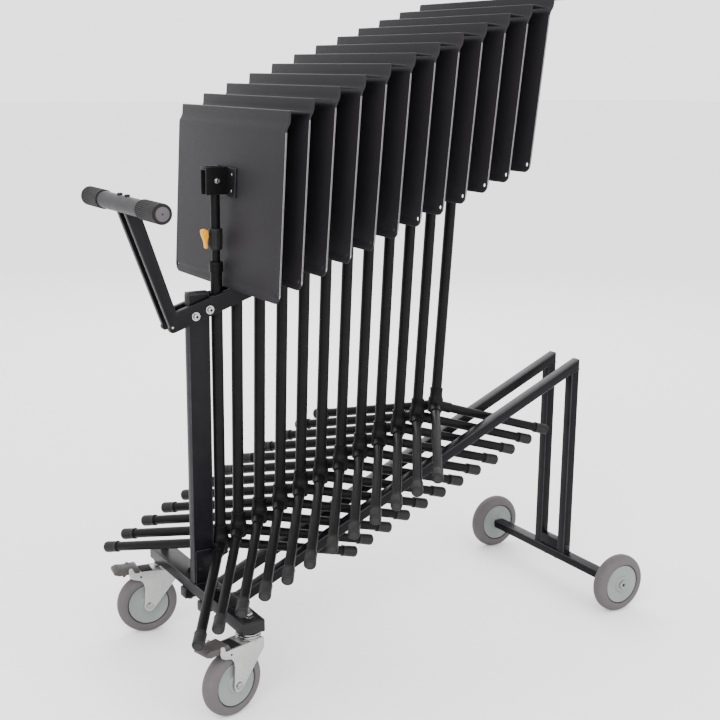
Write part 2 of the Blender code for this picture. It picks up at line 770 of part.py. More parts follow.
def add_stands(frame, paint, desk_paint, yellow):
    """All the stands, with the clutch lever of the first one."""
    base = base_mesh()
    riser = riser_mesh()
    desk = desk_mesh(DESK_BOTTOM_X, EAR_FRONT)
    first_desk = desk_mesh(FIRST_DESK_BOTTOM_X, FIRST_EAR_FRONT)
    pivot = (0, 0, TILT_PIN_Z)
    frames = stand_frames(frame)
    for number, place in enumerate(frames, 1):
        name = "stand_%02d" % number
        add_node(name + "_base", base.copy(), paint, place)
        add_node(name + "_riser", riser.copy(), paint, place)
        panel = first_desk if number == 1 else desk.copy()
        add_node(name + "_desk", panel, desk_paint, place, pivot)
    lever = prism("lever", LEVER_OUTLINE, "Y", -LEVER_HALF_WIDTH, LEVER_HALF_WIDTH)
    add_node("stand_01_lever", lever, yellow, frames[0], LEVER_PIVOT)


def build():
    """Build the whole model at rest."""
    clear_scene()
    frame = Matrix.Translation((-X_MIDDLE, 0, 0))
    paint = make_material("black_paint", (0.02, 0.02, 0.022), 0.0, 0.4)
    desk_paint = make_material("desk_powder", (0.055, 0.055, 0.06), 0.0, 0.65)
    rubber = make_material("grip_rubber", (0.12, 0.12, 0.12), 0.0, 0.75)
    tube = make_material("handle_grey", (0.22, 0.22, 0.22), 0.0, 0.45)
    steel = make_material("zinc_steel", (0.55, 0.55, 0.54), 1.0, 0.35)
    tyre = make_material("grey_tyre", (0.28, 0.27, 0.27), 0.0, 0.7)
    plastic = make_material("grey_plastic", (0.25, 0.23, 0.23), 0.0, 0.5)
    yellow = make_material("lever_yellow", (0.85, 0.42, 0.03), 0.0, 0.4)
    add_frame_parts(frame, paint, rubber, tube)
    add_rear_wheels(frame, tyre)
    add_casters(frame, steel, tyre, plastic)
    add_stands(frame, paint, desk_paint, yellow)


build()
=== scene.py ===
"""Trolley of nested orchestra stands: finished pieces and materials on the fixed frame."""

import json
import math

import bmesh
import bpy
from mathutils import Matrix, Vector


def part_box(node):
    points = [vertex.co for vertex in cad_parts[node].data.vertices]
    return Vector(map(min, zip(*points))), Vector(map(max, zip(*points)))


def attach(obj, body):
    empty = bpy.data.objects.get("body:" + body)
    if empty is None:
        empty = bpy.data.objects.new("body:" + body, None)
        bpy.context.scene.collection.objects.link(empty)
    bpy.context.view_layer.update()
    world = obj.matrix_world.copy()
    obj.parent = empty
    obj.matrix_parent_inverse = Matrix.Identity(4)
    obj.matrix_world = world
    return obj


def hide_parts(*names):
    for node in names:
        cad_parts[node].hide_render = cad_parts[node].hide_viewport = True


bl_info = {
    "name": "Stand Trolley Finisher",
    "version": (1, 0, 0),
    "blender": (4, 5, 0),
    "location": "View3D > Sidebar > Stand Trolley",
    "description": "Builds the finished pieces of a trolley loaded with orchestra stands",
    "category": "Object",
}

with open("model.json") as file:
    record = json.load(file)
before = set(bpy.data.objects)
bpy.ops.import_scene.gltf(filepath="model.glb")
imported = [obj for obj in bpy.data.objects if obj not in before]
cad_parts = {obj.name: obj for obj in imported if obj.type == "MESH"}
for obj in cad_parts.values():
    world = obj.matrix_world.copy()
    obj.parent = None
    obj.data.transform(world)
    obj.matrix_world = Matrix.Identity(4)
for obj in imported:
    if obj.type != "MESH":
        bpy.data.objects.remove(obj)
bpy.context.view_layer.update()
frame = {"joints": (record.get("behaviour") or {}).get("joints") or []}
JOINTS = {joint["name"]: joint for joint in frame["joints"]}

STAND_COUNT = 12
SIDES = ((-1, "near"), (1, "far"))
SHARP = math.radians(30)
SMOOTH = math.radians(35)

# The trolley is laid out from the crossbar's front face, its mid-plane and the floor.
LAYOUT = Matrix.Translation((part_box("crossbar_front")[0].x, 0, 0))
RAIL_ANGLE = math.radians(24.1)
RAIL_TOP_AT_FRONT = 0.1160
RAIL_DEPTH = 0.0206
RAIL_WIDTH = 0.0225
RAIL_Y = 0.0395
RAIL_START = -0.0030
TOUCH_GAP = 0.0003
CROSSBAR = ((0.0, -0.2163, 0.151), (0.0465, 0.2163, 0.1746))
UPRIGHT_X = (0.8907, 0.9111)
WHEEL_RADIUS = 0.0625
AXLE_X = 0.9005
AXLE_BAR_HALF = 0.009
UPRIGHT_FOOT = WHEEL_RADIUS + AXLE_BAR_HALF + TOUCH_GAP
POST_TOP = 0.741
POST_WELD_Y = 0.013068
CHEEK_INNER_Y = 0.0098
CHEEK_OUTER_Y = 0.0128
ARM_INNER_Y = 0.0118
ARM_OUTER_Y = 0.0228
ARM_OUTLINE = (
    (-0.1236, 0.9060), (-0.0430, 0.6795), (-0.0400, 0.6725), (-0.0330, 0.6725),
    (0.1350, 0.7305), (0.1300, 0.7585), (-0.0250, 0.7115), (-0.0965, 0.9060),
)
ARM_BOLTS = ((0.0090, 0.6990), (0.0370, 0.7090))
HANDLE_X = -0.113
HANDLE_Z = 0.906
HANDLE_RADIUS = 0.0155
HANDLE_HALF = 0.165
GRIP_RADIUS = 0.0177
GRIP_START = 0.094
GRIP_END = 0.174
FORK_HALF_WIDTH = 0.0212
FORK_SHEET = 0.0026
FORK_OUTLINE = (
    (-0.0200, 0.1370), (-0.0200, 0.1170), (0.0300, 0.0550), (0.0340, 0.0512),
    (0.0400, 0.0495), (0.0465, 0.0520), (0.0500, 0.0590), (0.0480, 0.1000),
    (0.0505, 0.1120), (0.0565, 0.1190), (0.0700, 0.1225), (0.0780, 0.1270),
    (0.0805, 0.1360), (0.0800, 0.1465), (0.0760, 0.1490), (0.0715, 0.1465),
    (0.0690, 0.1370),
)
PEDAL_OUTLINE = (
    (0.1100, 0.1380), (0.1090, 0.1440), (0.1000, 0.1475), (0.0880, 0.1462),
    (0.0780, 0.1462), (0.0660, 0.1475), (0.0600, 0.1470), (0.0560, 0.1400),
    (0.0570, 0.1376), (0.0690, 0.1376), (0.0800, 0.1345), (0.1000, 0.1340),
)

# Where the camera stands, in metres.
CAMERA_PLACE = (-1.3086, -2.0579, 1.1362)

# One stand, measured from the point where its legs meet.
TILT_PIN_Z = 0.695
LEG_SLOPE = math.radians(14.05)
LEG_YAW = math.radians(-2.9)
LEG_LENGTH = 0.3068
DESK_TILT = math.radians(2.9)
DESK_BOTTOM_Z = 0.500
DESK_BOTTOM_X = 0.0150
FIRST_DESK_BOTTOM_X = 0.0134
DESK_HEIGHT = 0.326
DESK_WIDTH = 0.440
DESK_THICKNESS = 0.0035
DESK_JOGGLE = 0.006
DESK_LEDGE = 0.038
JOGGLE_START = 0.294
JOGGLE_END = 0.306
HOLE_RADIUS = 0.0036
HOLE_INSET = 0.0100
HOLE_HEIGHT = 0.0150
CORNER_RADIUS = 0.018
CUTTER_REACH = 0.02
LEVER_OUTLINE = (
    (-0.0155, 0.6050), (-0.0240, 0.6095), (-0.0300, 0.6060), (-0.0282, 0.5970),
    (-0.0236, 0.5860), (-0.0222, 0.5735), (-0.0185, 0.5716), (-0.0165, 0.5760),
    (-0.0178, 0.5850), (-0.0145, 0.5930),
)


def rail_top(x):
    """Height at x of the line that the sloping rails' top face is on."""
    return RAIL_TOP_AT_FRONT + math.tan(RAIL_ANGLE) * x


def rail_bottom(x):
    """Height at x of the line that the sloping rails' lower face is on."""
    return rail_top(x) - RAIL_DEPTH / math.cos(RAIL_ANGLE)


def stand_place(number):
    """Frame of one stand, from its height slide and its tilt pin."""
    up = Vector(JOINTS["stand_%02d_height" % number]["axis"]).normalized()
    pin = Vector(JOINTS["stand_%02d_tilt" % number]["pos_m"])
    origin = pin - up * TILT_PIN_Z
    ahead = Vector((up.z, 0, -up.x))
    rotation = Matrix((ahead, Vector((0, 1, 0)), up)).transposed()
    return Matrix.Translation(origin) @ rotation.to_4x4()


def caster_place(label):
    """Frame of one caster: u trails from the swivel axis, v is the wheel's axis."""
    pivot = Vector(JOINTS["caster_%s_swivel" % label]["pos_m"])
    wheel = Vector(JOINTS["caster_%s_spin" % label]["pos_m"])
    trail = Vector((wheel.x - pivot.x, wheel.y - pivot.y, 0))
    ahead = trail.normalized()
    across = Vector((-ahead.y, ahead.x, 0))
    rotation = Matrix((ahead, across, Vector((0, 0, 1)))).transposed()
    return Matrix.Translation((pivot.x, pivot.y, 0)) @ rotation.to_4x4(), trail.length


def along(axis, origin=(0, 0, 0)):
    """Frame whose Z runs along axis from origin."""
    turn = Vector((0, 0, 1)).rotation_difference(Vector(axis)).to_matrix().to_4x4()
    return Matrix.Translation(origin) @ turn


def fillet(corners, radius, steps=4, closed=True):
    """Round the corners of a flat outline, with one radius or one for each corner."""
    result = []
    last = len(corners) - 1
    for index, corner in enumerate(corners):
        here = Vector(corner)
        size = radius if isinstance(radius, float) else radius[index]
        if size == 0 or (not closed and index in (0, last)):
            result.append(tuple(here))
            continue
        before = Vector(corners[index - 1]) - here
        after = Vector(corners[(index + 1) % len(corners)]) - here
        reach = min(size, before.length * 0.45, after.length * 0.45)
        start = here + before.normalized() * reach
        end = here + after.normalized() * reach
        for step in range(steps + 1):
            t = step / steps
            bend = start * (1 - t) ** 2 + here * (2 * t * (1 - t)) + end * t**2
            result.append(tuple(bend))
    return result


class Shape:
    """Closed shells gathered into one mesh, with a mark on the faces that round an edge."""

    def __init__(self, place=None):
        self.place = place or Matrix.Identity(4)
        self.points = []
        self.faces = []
        self.rims = []

    def shell(self, points, faces, place=None, edge=0.0, steps=2, rim=0.0):
        """Add one closed shell, its sharp edges rounded by edge."""
        frame_here = self.place @ place if place is not None else self.place
        work = bmesh.new()
        corners = [work.verts.new(frame_here @ Vector(point)) for point in points]
        for face in faces:
            work.faces.new([corners[index] for index in face])
        bmesh.ops.recalc_face_normals(work, faces=work.faces)
        rounded = set()
        if edge:
            sharp = [line for line in work.edges if line.calc_face_angle(0.0) > SHARP]
            made = bmesh.ops.bevel(
                work,
                geom=sharp,
                offset=edge,
                offset_type="OFFSET",
                segments=steps,
                profile=0.5,
                affect="EDGES",
                clamp_overlap=True,
            )
            rounded = set(made["faces"])
        work.verts.index_update()
        start = len(self.points)
        self.points += [vertex.co.copy() for vertex in work.verts]
        for face in work.faces:
            self.faces.append([start + vertex.index for vertex in face.verts])
            self.rims.append(1.0 if face in rounded else rim)
        work.free()

    def prism(self, outline, low, high, place=None, edge=0.0, steps=2, rim=0.0):
        """Extrude an (x, z) outline from y = low to y = high."""
        count = len(outline)
        points = [(x, low, z) for x, z in outline] + [(x, high, z) for x, z in outline]
        faces = [list(range(count)), list(range(2 * count - 1, count - 1, -1))]
        for index in range(count):
            after = (index + 1) % count
            faces.append([index, after, after + count, index + count])
        self.shell(points, faces, place, edge, steps, rim)

    def box(self, low, high, place=None, edge=0.0, steps=2, rim=0.0):
        """Add a block between two corners."""
        outline = ((low[0], low[2]), (high[0], low[2]), (high[0], high[2]), (low[0], high[2]))
        self.prism(outline, low[1], high[1], place, edge, steps, rim)

    def hexagon(self, radius, low, high, place=None, edge=0.0008):
        """Add a hexagon head or nut along the frame's Z."""
        ring = [
            (radius * math.cos(math.pi * step / 3), radius * math.sin(math.pi * step / 3))
            for step in range(6)
        ]
        points = [(x, y, low) for x, y in ring] + [(x, y, high) for x, y in ring]
        faces = [list(range(6)), list(range(11, 5, -1))]
        for index in range(6):
            after = (index + 1) % 6
            faces.append([index, after, after + 6, index + 6])
        self.shell(points, faces, place, edge)

    def lathe(self, profile, place=None, segments=32, ring=False, rim=0.0):
        """Turn (radius, height) pairs about the frame's Z."""
        points = []
        rows = []
        for radius, height in profile:
            if radius == 0:
                rows.append([len(points)] * segments)
                points.append((0, 0, height))
                continue
            rows.append(list(range(len(points), len(points) + segments)))
            for step in range(segments):
                angle = 2 * math.pi * step / segments
                points.append((radius * math.cos(angle), radius * math.sin(angle), height))
        pairs = list(zip(rows, rows[1:]))
        if ring:
            pairs.append((rows[-1], rows[0]))
        faces = []
        for low, high in pairs:
            for step in range(segments):
                after = (step + 1) % segments
                corners = [low[step], low[after], high[after], high[step]]
                faces.append(list(dict.fromkeys(corners)))
        self.shell(points, faces, place, rim=rim)

    def mesh(self, name, material):
        """The gathered shells as a mesh with soft shading."""
        mesh = bpy.data.meshes.new(name)
        mesh.from_pydata(self.points, [], self.faces)
        mark = mesh.attributes.new("rim", "FLOAT", "FACE")
        mark.data.foreach_set("value", self.rims)
        finish_mesh(mesh, material)
        return mesh

    def piece(self, name, finish, body, slot, *nodes):
        """Turn the gathered shells into a piece on its body."""
        add_piece(name, self.mesh(name, finishes()[finish]), body, slot, *nodes)


def finish_mesh(mesh, material):
    """Soft shading with crisp edges, and one material."""
    mesh.materials.clear()
    mesh.materials.append(material)
    mesh.polygons.foreach_set("use_smooth", [True] * len(mesh.polygons))
    mesh.set_sharp_from_angle(angle=SMOOTH)
    mesh.update()


def add_piece(name, mesh, body, slot, *nodes):
    """Link a finished mesh, set it on its body and let it stand for its CAD nodes."""
    piece = bpy.data.objects.new(name, mesh)
    bpy.context.scene.collection.objects.link(piece)
    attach(piece, body)
    if nodes:
        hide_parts(*nodes)


def moved_copy(mesh, place):
    """A copy of a mesh set in a frame."""
    copy = mesh.copy()
    copy.transform(place)
    return copy


class Term:
    """One socket of a node tree; arithmetic on it adds Math nodes."""

    def __init__(self, tree, socket):
        self.tree = tree
        self.socket = socket

    def _math(self, operation, left, right):
        return self.tree.node("ShaderNodeMath", {"operation": operation}, {0: left, 1: right})

    def __add__(self, other):
        return self._math("ADD", self, other)

    __radd__ = __add__

    def __sub__(self, other):
        return self._math("SUBTRACT", self, other)

    def __rsub__(self, other):
        return self._math("SUBTRACT", other, self)

    def __mul__(self, other):
        return self._math("MULTIPLY", self, other)

    __rmul__ = __mul__


class Tree:
    """A node tree that is built one node at a time."""

    def __init__(self, tree):
        self.tree = tree

    def node(self, kind, settings=None, inputs=None, output=0):
        """Add a node, set it up, feed its sockets and return one output."""
        made = self.tree.nodes.new(kind)
        for key, value in (settings or {}).items():
            setattr(made, key, value)
        for key, value in (inputs or {}).items():
            self.feed(made.inputs[key], value)
        return Term(self, made.outputs[output])

    def feed(self, socket, value):
        """Link a term to a socket, or set the socket's value."""
        if isinstance(value, Term):
            self.tree.links.new(value.socket, socket)
        else:
            socket.default_value = value


class Finish(Tree):
    """A Principled material whose patterns read Object coordinates."""

    def __init__(self, name, sheen=0.2):
        self.material = bpy.data.materials.new(name)
        self.material.use_nodes = True
        super().__init__(self.material.node_tree)
        self.shader = self.tree.nodes["Principled BSDF"]
        self.shader.inputs["Specular IOR Level"].default_value = sheen
        self.place = self.node("ShaderNodeTexCoord", output="Object")

    def noise(self, scale, detail=2.0, roughness=0.5, vector=None):
        """Noise at a scale in cycles for each metre."""
        inputs = {
            "Vector": vector or self.place,
            "Scale": scale,
            "Detail": detail,
            "Roughness": roughness,
        }
        return self.node("ShaderNodeTexNoise", None, inputs, "Fac")

    def cells(self, scale):
        """Distance to the nearest cell centre at a scale in cycles for each metre."""
        inputs = {"Vector": self.place, "Scale": scale}
        return self.node("ShaderNodeTexVoronoi", None, inputs, "Distance")

    def stretched(self, scale):
        """Object coordinates scaled along each axis."""
        return self.node("ShaderNodeMapping", None, {"Vector": self.place, "Scale": scale})

    def rim(self):
        """One on the faces that round an edge, and nought elsewhere."""
        settings = {"attribute_type": "GEOMETRY", "attribute_name": "rim"}
        return self.node("ShaderNodeAttribute", settings, None, "Fac")

    def mix(self, factor, first, second, blend="MIX"):
        """Mix two colours."""
        settings = {"data_type": "RGBA", "blend_type": blend}
        return self.node("ShaderNodeMix", settings, {0: factor, 6: first, 7: second}, 2)

    def spread(self, value, low, high, to_low=0.0, to_high=1.0):
        """Carry a value from one range to another, and keep it inside."""
        inputs = {0: value, 1: low, 2: high, 3: to_low, 4: to_high}
        return self.node("ShaderNodeMapRange", {"clamp": True}, inputs)

    def bump(self, height, distance, strength=1.0, normal=None):
        """Relief from a height between nought and one."""
        inputs = {"Height": height, "Distance": distance, "Strength": strength}
        if normal is not None:
            inputs["Normal"] = normal
        return self.node("ShaderNodeBump", None, inputs, "Normal")

    def set(self, **sockets):
        """Feed the shader's sockets, named with underscores for spaces."""
        for key, value in sockets.items():
            self.feed(self.shader.inputs[key.replace("_", " ")], value)
        return self.material


def shade(colour, factor):
    """An opaque colour made lighter or darker."""
    return tuple(min(1.0, channel * factor) for channel in colour[:3]) + (1.0,)


def painted_metal(name, colour, edge_colour, gloss, grain, depth, sheen=0.07):
    """Baked paint: cloudy tone, fine grain, dusty film, and lighter edges that are partly paint
    wear and partly a painted highlight.
    """
    finish = Finish(name, sheen)
    cloud = finish.noise(9.0, 4.0, 0.6)
    speck = finish.noise(grain, 2.0, 0.6)
    film = finish.spread(finish.noise(35.0, 6.0, 0.7), 0.45, 0.75)
    base = finish.mix(finish.spread(cloud, 0.3, 0.7), shade(colour, 0.82), shade(colour, 1.18))
    base = finish.mix(film * 0.25, base, shade(edge_colour, 0.4))
    # Rounded edges take the lighter edge colour: partly paint wear, partly a painted highlight
    # along the edge.
    edge_wear_and_highlight = finish.rim() * finish.spread(finish.noise(60.0, 3.0, 0.6), 0.25, 0.6, 0.55, 1.0)
    base = finish.mix(edge_wear_and_highlight, base, (*edge_colour[:3], 1.0))
    rough = finish.spread(cloud + film * 0.4, 0.2, 1.0, gloss - 0.06, gloss + 0.14)
    rough = rough - edge_wear_and_highlight * 0.12
    return finish.set(
        Base_Color=base,
        Roughness=rough,
        Normal=finish.bump(speck, depth, 0.8, finish.bump(cloud, 0.0004, 0.25)),
    )


def powder_coat(name, colour, edge_colour, gloss):
    """Fine textured powder coat: pebbled grain with a few brighter specks."""
    finish = Finish(name, 0.1)
    cloud = finish.noise(5.0, 3.0, 0.55)
    pebble = finish.cells(620.0)
    dust = finish.noise(1400.0, 2.0, 0.7)
    base = finish.mix(finish.spread(cloud, 0.3, 0.7), shade(colour, 0.90), shade(colour, 1.10))
    fleck = finish.spread(dust, 0.60, 0.72)
    base = finish.mix(fleck * 0.35, base, shade(colour, 1.9))
    # Marked edges take the edge colour: on the desks a painted highlight along the side edges, on
    # the brackets partly wear and partly a painted highlight.
    edge_wear_and_highlight = finish.rim() * finish.spread(finish.noise(80.0, 4.0, 0.6), 0.2, 0.6, 0.75, 1.0)
    base = finish.mix(edge_wear_and_highlight, base, (*edge_colour[:3], 1.0))
    rough = finish.spread(pebble, 0.0, 0.8, gloss - 0.06, gloss + 0.08) - edge_wear_and_highlight * 0.2
    relief = finish.bump(pebble, 0.00022, 0.5, finish.bump(cloud, 0.0006, 0.2))
    return finish.set(Base_Color=base, Roughness=rough, Normal=relief)


def moulded_rubber(name, colour, gloss, grain, depth):
    """Matt rubber with a fine skin, scuffs and dust in its hollows."""
    finish = Finish(name, 0.15)
    skin = finish.noise(grain, 3.0, 0.6)
    scuff = finish.spread(finish.noise(45.0, 6.0, 0.75), 0.52, 0.72)
    base = finish.mix(skin, shade(colour, 0.85), shade(colour, 1.12))
    base = finish.mix(scuff * 0.30, base, shade(colour, 1.6))
    rough = finish.spread(scuff, 0.0, 1.0, gloss, gloss + 0.12)
    return finish.set(Base_Color=base, Roughness=rough, Normal=finish.bump(skin, depth, 0.6))


def moulded_plastic(name, colour, gloss, coat=0.0):
    """Injection-moulded plastic: slight flow marks and a soft spark-eroded skin."""
    finish = Finish(name)
    flow = finish.noise(22.0, 3.0, 0.5)
    skin = finish.cells(900.0)
    base = finish.mix(finish.spread(flow, 0.3, 0.7), shade(colour, 0.93), shade(colour, 1.06))
    rough = finish.spread(flow, 0.3, 0.7, gloss, gloss + 0.08)
    # Rounded edges are made lighter: partly wear, partly a painted highlight along the edge.
    edge_wear_and_highlight = finish.rim() * 0.35
    base = finish.mix(edge_wear_and_highlight, base, shade(colour, 1.25))
    return finish.set(
        Base_Color=base,
        Roughness=rough,
        Coat_Weight=coat,
        Normal=finish.bump(skin, 0.00008, 0.5),
    )


def plated_steel(name, colour, gloss, metal=1.0, streak=(300.0, 300.0, 20.0)):
    """Zinc-plated steel: spangled tone, drawn streaks and dull spots."""
    finish = Finish(name)
    spangle = finish.cells(260.0)
    drawn = finish.noise(1.0, 2.0, 0.6, finish.stretched(streak))
    dull = finish.spread(finish.noise(70.0, 5.0, 0.7), 0.5, 0.75)
    base = finish.mix(spangle, shade(colour, 1.06), shade(colour, 0.90))
    base = finish.mix(dull * 0.4, base, shade(colour, 0.72))
    rough = finish.spread(drawn, 0.3, 0.7, gloss - 0.06, gloss + 0.10) + dull * 0.12
    return finish.set(
        Base_Color=base,
        Roughness=rough,
        Metallic=metal,
        Normal=finish.bump(drawn, 0.00006, 0.4),
    )


def weld_metal(name, colour):
    """Painted weld bead: lumpy and a little glossier than the tube."""
    finish = Finish(name)
    lump = finish.noise(420.0, 3.0, 0.6)
    base = finish.mix(lump, shade(colour, 0.8), shade(colour, 1.7))
    rough = finish.spread(lump, 0.3, 0.7, 0.28, 0.45)
    return finish.set(Base_Color=base, Roughness=rough, Normal=finish.bump(lump, 0.0004, 0.7))


def stage_paper(name, colour):
    """Plain pale floor with a barely visible grain."""
    finish = Finish(name)
    grain = finish.noise(14.0, 3.0, 0.5)
    base = finish.mix(grain, shade(colour, 0.99), shade(colour, 1.0))
    return finish.set(Base_Color=base, Roughness=finish.spread(grain, 0.3, 0.7, 0.85, 0.95))


def colour_setting(name, description, default):
    """A colour that a user can change."""
    return bpy.props.FloatVectorProperty(
        name=name, description=description, subtype="COLOR", default=default, min=0, max=1
    )


def length_setting(name, description, default, low, high):
    """A length in metres that a user can change."""
    return bpy.props.FloatProperty(
        name=name, description=description, unit="LENGTH", default=default, min=low, max=high
    )


def count_setting(name, description, default, low, high):
    """A whole number that a user can change."""
    return bpy.props.IntProperty(
        name=name, description=description, default=default, min=low, max=high
    )


def angle_setting(name, description, default):
    """An angle that a user can change."""
    return bpy.props.FloatProperty(
        name=name, description=description, subtype="ANGLE", default=default
    )


class TrolleyFinishes(bpy.types.PropertyGroup):
    """Colours of the trolley and the stands."""

    paint: colour_setting(
        "Trolley Paint", "Semi-gloss black of the welded frame", (0.0040, 0.0038, 0.0046)
    )
    # Painted: the lighter tone on rounded edges is partly paint wear and partly a painted
    # highlight.
    edge: colour_setting(
        "Paint Edge", "Lighter tone where paint thins over an edge", (0.028, 0.028, 0.033)
    )
    stand: colour_setting(
        "Stand Paint", "Satin black of the masts and legs", (0.0034, 0.0033, 0.0037)
    )
    desk: colour_setting(
        "Desk Powder Coat", "Charcoal of the desk panels", (0.0130, 0.0118, 0.0138)
    )
    # Painted highlight: the pale colour on the desk panels' side edges stands in for light caught
    # along the edge.
    desk_edge: colour_setting(
        "Desk Edge", "Pale cut edge of the desk panels", (0.28, 0.27, 0.29)
    )
    handle: colour_setting("Handle Grey", "Satin grey of the push tube", (0.028, 0.026, 0.028))
    grip: colour_setting("Grip Rubber", "Grey of the ribbed grips", (0.020, 0.018, 0.020))
    cap: colour_setting(
        "Foot Rubber", "Black-grey of the rubber feet", (0.0085, 0.0085, 0.0090)
    )
    tyre: colour_setting("Tyre Grey", "Warm grey of the tyres", (0.074, 0.066, 0.069))
    hub: colour_setting(
        "Wheel Centre", "Pale grey-green of the wheel centres", (0.150, 0.168, 0.162)
    )
    zinc: colour_setting("Zinc", "Pale plating of forks and bolts", (0.36, 0.355, 0.35))
    pedal: colour_setting(
        "Pedal Plastic", "Grey-brown of the brake pedals", (0.044, 0.039, 0.039)
    )
    lever: colour_setting(
        "Lever Yellow", "Orange-yellow of the clutch lever", (0.58, 0.25, 0.0)
    )


class TrolleySizes(bpy.types.PropertyGroup):
    """Small sizes that shape the details."""

    tube_edge: length_setting(
        "Tube Edge Radius", "Outer corner radius of the box sections", 0.0018, 0.0003, 0.004
    )
    plate_edge: length_setting(
        "Plate Edge Radius", "Edge radius of flat plates and brackets", 0.0006, 0.0001, 0.0012
    )
    grip_ribs: count_setting("Grip Ribs", "Ribs round each rubber grip", 34, 12, 80)
    clutch_ribs: count_setting("Clutch Ribs", "Grip ribs round each clutch body", 14, 6, 30)
    bead_pitch: length_setting(
        "Weld Pitch", "Distance from one weld ripple to the next", 0.0016, 0.0008, 0.004
    )
    groove_radius: length_setting(
        "Wheel Groove Radius", "Radius of the groove round the centre", 0.0420, 0.030, 0.044
    )


class StageSettings(bpy.types.PropertyGroup):
    """Camera and light of the studio."""

    lens: bpy.props.FloatProperty(
        name="Lens",
        description="Focal length of the camera",
        unit="CAMERA",
        default=61.87,
        min=20,
        max=200,
    )
    azimuth: angle_setting(
        "Azimuth", "Heading of the camera about the vertical", math.radians(31.602)
    )
    dip: angle_setting("Dip", "How far the camera looks down", math.radians(13.14))
    roll: angle_setting(
        "Roll", "Turn of the camera about its line of sight", math.radians(0.587)
    )
    world_light: bpy.props.FloatProperty(
        name="Room Light",
        description="Brightness of the white surroundings",
        default=2.4,
        min=0,
        max=20,
    )
    key_light: bpy.props.FloatProperty(
        name="Key Light",
        description="Power of the large front softbox",
        unit="POWER",
        default=130.0,
        min=0,
        max=2000,
    )


FINISHES = {}


def finishes():
    """The shared materials, made on first use."""
    if FINISHES:
        return FINISHES
    colours = bpy.context.scene.trolley_finishes
    FINISHES.update(
        trolley=painted_metal(
            "trolley_paint", colours.paint, colours.edge, 0.30, 900.0, 0.00012
        ),
        stand=painted_metal("stand_paint", colours.stand, colours.edge, 0.34, 800.0, 0.00015),
        casting=painted_metal(
            "casting_paint", colours.stand, colours.edge, 0.42, 420.0, 0.00035
        ),
        # The desk's edge colour is a painted highlight on its side edges.
        desk=powder_coat("desk_powder", colours.desk, colours.desk_edge, 0.52),
        bracket=powder_coat("bracket_powder", colours.stand, colours.edge, 0.45),
        handle=painted_metal(
            "handle_grey", colours.handle, shade(colours.handle, 1.6), 0.42, 700.0, 0.0001
        ),
        grip=moulded_rubber("grip_rubber", colours.grip, 0.62, 600.0, 0.00015),
        grip_core=moulded_rubber("grip_core", shade(colours.grip, 0.35), 0.7, 600.0, 0.00015),
        grip_disc=moulded_plastic("grip_disc", shade(colours.grip, 2.6), 0.42),
        cap=moulded_rubber("foot_rubber", colours.cap, 0.50, 500.0, 0.0002),
        cap_disc=moulded_rubber("foot_disc", shade(colours.cap, 1.7), 0.42, 500.0, 0.0002),
        plug=moulded_plastic("end_plug", shade(colours.cap, 0.6), 0.40),
        tyre=moulded_rubber("grey_tyre", colours.tyre, 0.60, 380.0, 0.0002),
        hub=moulded_plastic("wheel_centre", colours.hub, 0.36),
        groove=moulded_rubber("wheel_groove", shade(colours.cap, 0.8), 0.7, 500.0, 0.0001),
        zinc=plated_steel("zinc_plate", colours.zinc, 0.36, 0.75),
        bright=plated_steel("bright_steel", shade(colours.zinc, 0.8), 0.20),
        dark_bolt=plated_steel("dark_bolt", shade(colours.handle, 0.5), 0.34, 0.8),
        pedal=moulded_plastic("pedal_plastic", colours.pedal, 0.46),
        lever=moulded_plastic("lever_yellow", colours.lever, 0.26, 0.12),
        weld=weld_metal("weld_paint", colours.paint),
    )
    return FINISHES


def group(name, *inputs):
    """A Geometry Nodes tree with named inputs, and the terms that read them."""
    tree = bpy.data.node_groups.new(name, "GeometryNodeTree")
    tree.interface.new_socket("Geometry", in_out="INPUT", socket_type="NodeSocketGeometry")
    tree.interface.new_socket("Geometry", in_out="OUTPUT", socket_type="NodeSocketGeometry")
    for label, kind in inputs:
        tree.interface.new_socket(label, in_out="INPUT", socket_type="NodeSocket" + kind)
    builder = Tree(tree)
    entry = tree.nodes.new("NodeGroupInput")
    terms = {socket.name: Term(builder, socket) for socket in entry.outputs if socket.name}
    return builder, terms


def close_group(builder, geometry, material):
    """End a tree in Realize Instances and Set Material."""
    real = builder.node("GeometryNodeRealizeInstances", None, {0: geometry})
    inputs = {"Geometry": real, "Material": material}
    done = builder.node("GeometryNodeSetMaterial", None, inputs)
    leave = builder.tree.nodes.new("NodeGroupOutput")
    builder.feed(leave.inputs[0], done)
    return builder.tree


def fastener_tree():
    """A fastener on every point, turned to the point's facing attribute."""
    builder, entry = group("fastener_row", ("Fastener", "Object"), ("Finish", "Material"))
    facing = builder.node(
        "GeometryNodeInputNamedAttribute", {"data_type": "FLOAT_VECTOR"}, {"Name": "facing"}
    )
    turn = builder.node("FunctionNodeAlignRotationToVector", {"axis": "Z"}, {"Vector": facing})
    item = builder.node(
        "GeometryNodeObjectInfo", None, {"Object": entry["Fastener"]}, "Geometry"
    )
    inputs = {"Points": entry["Geometry"], "Instance": item, "Rotation": turn}
    placed = builder.node("GeometryNodeInstanceOnPoints", None, inputs)
    return close_group(builder, placed, entry["Finish"])


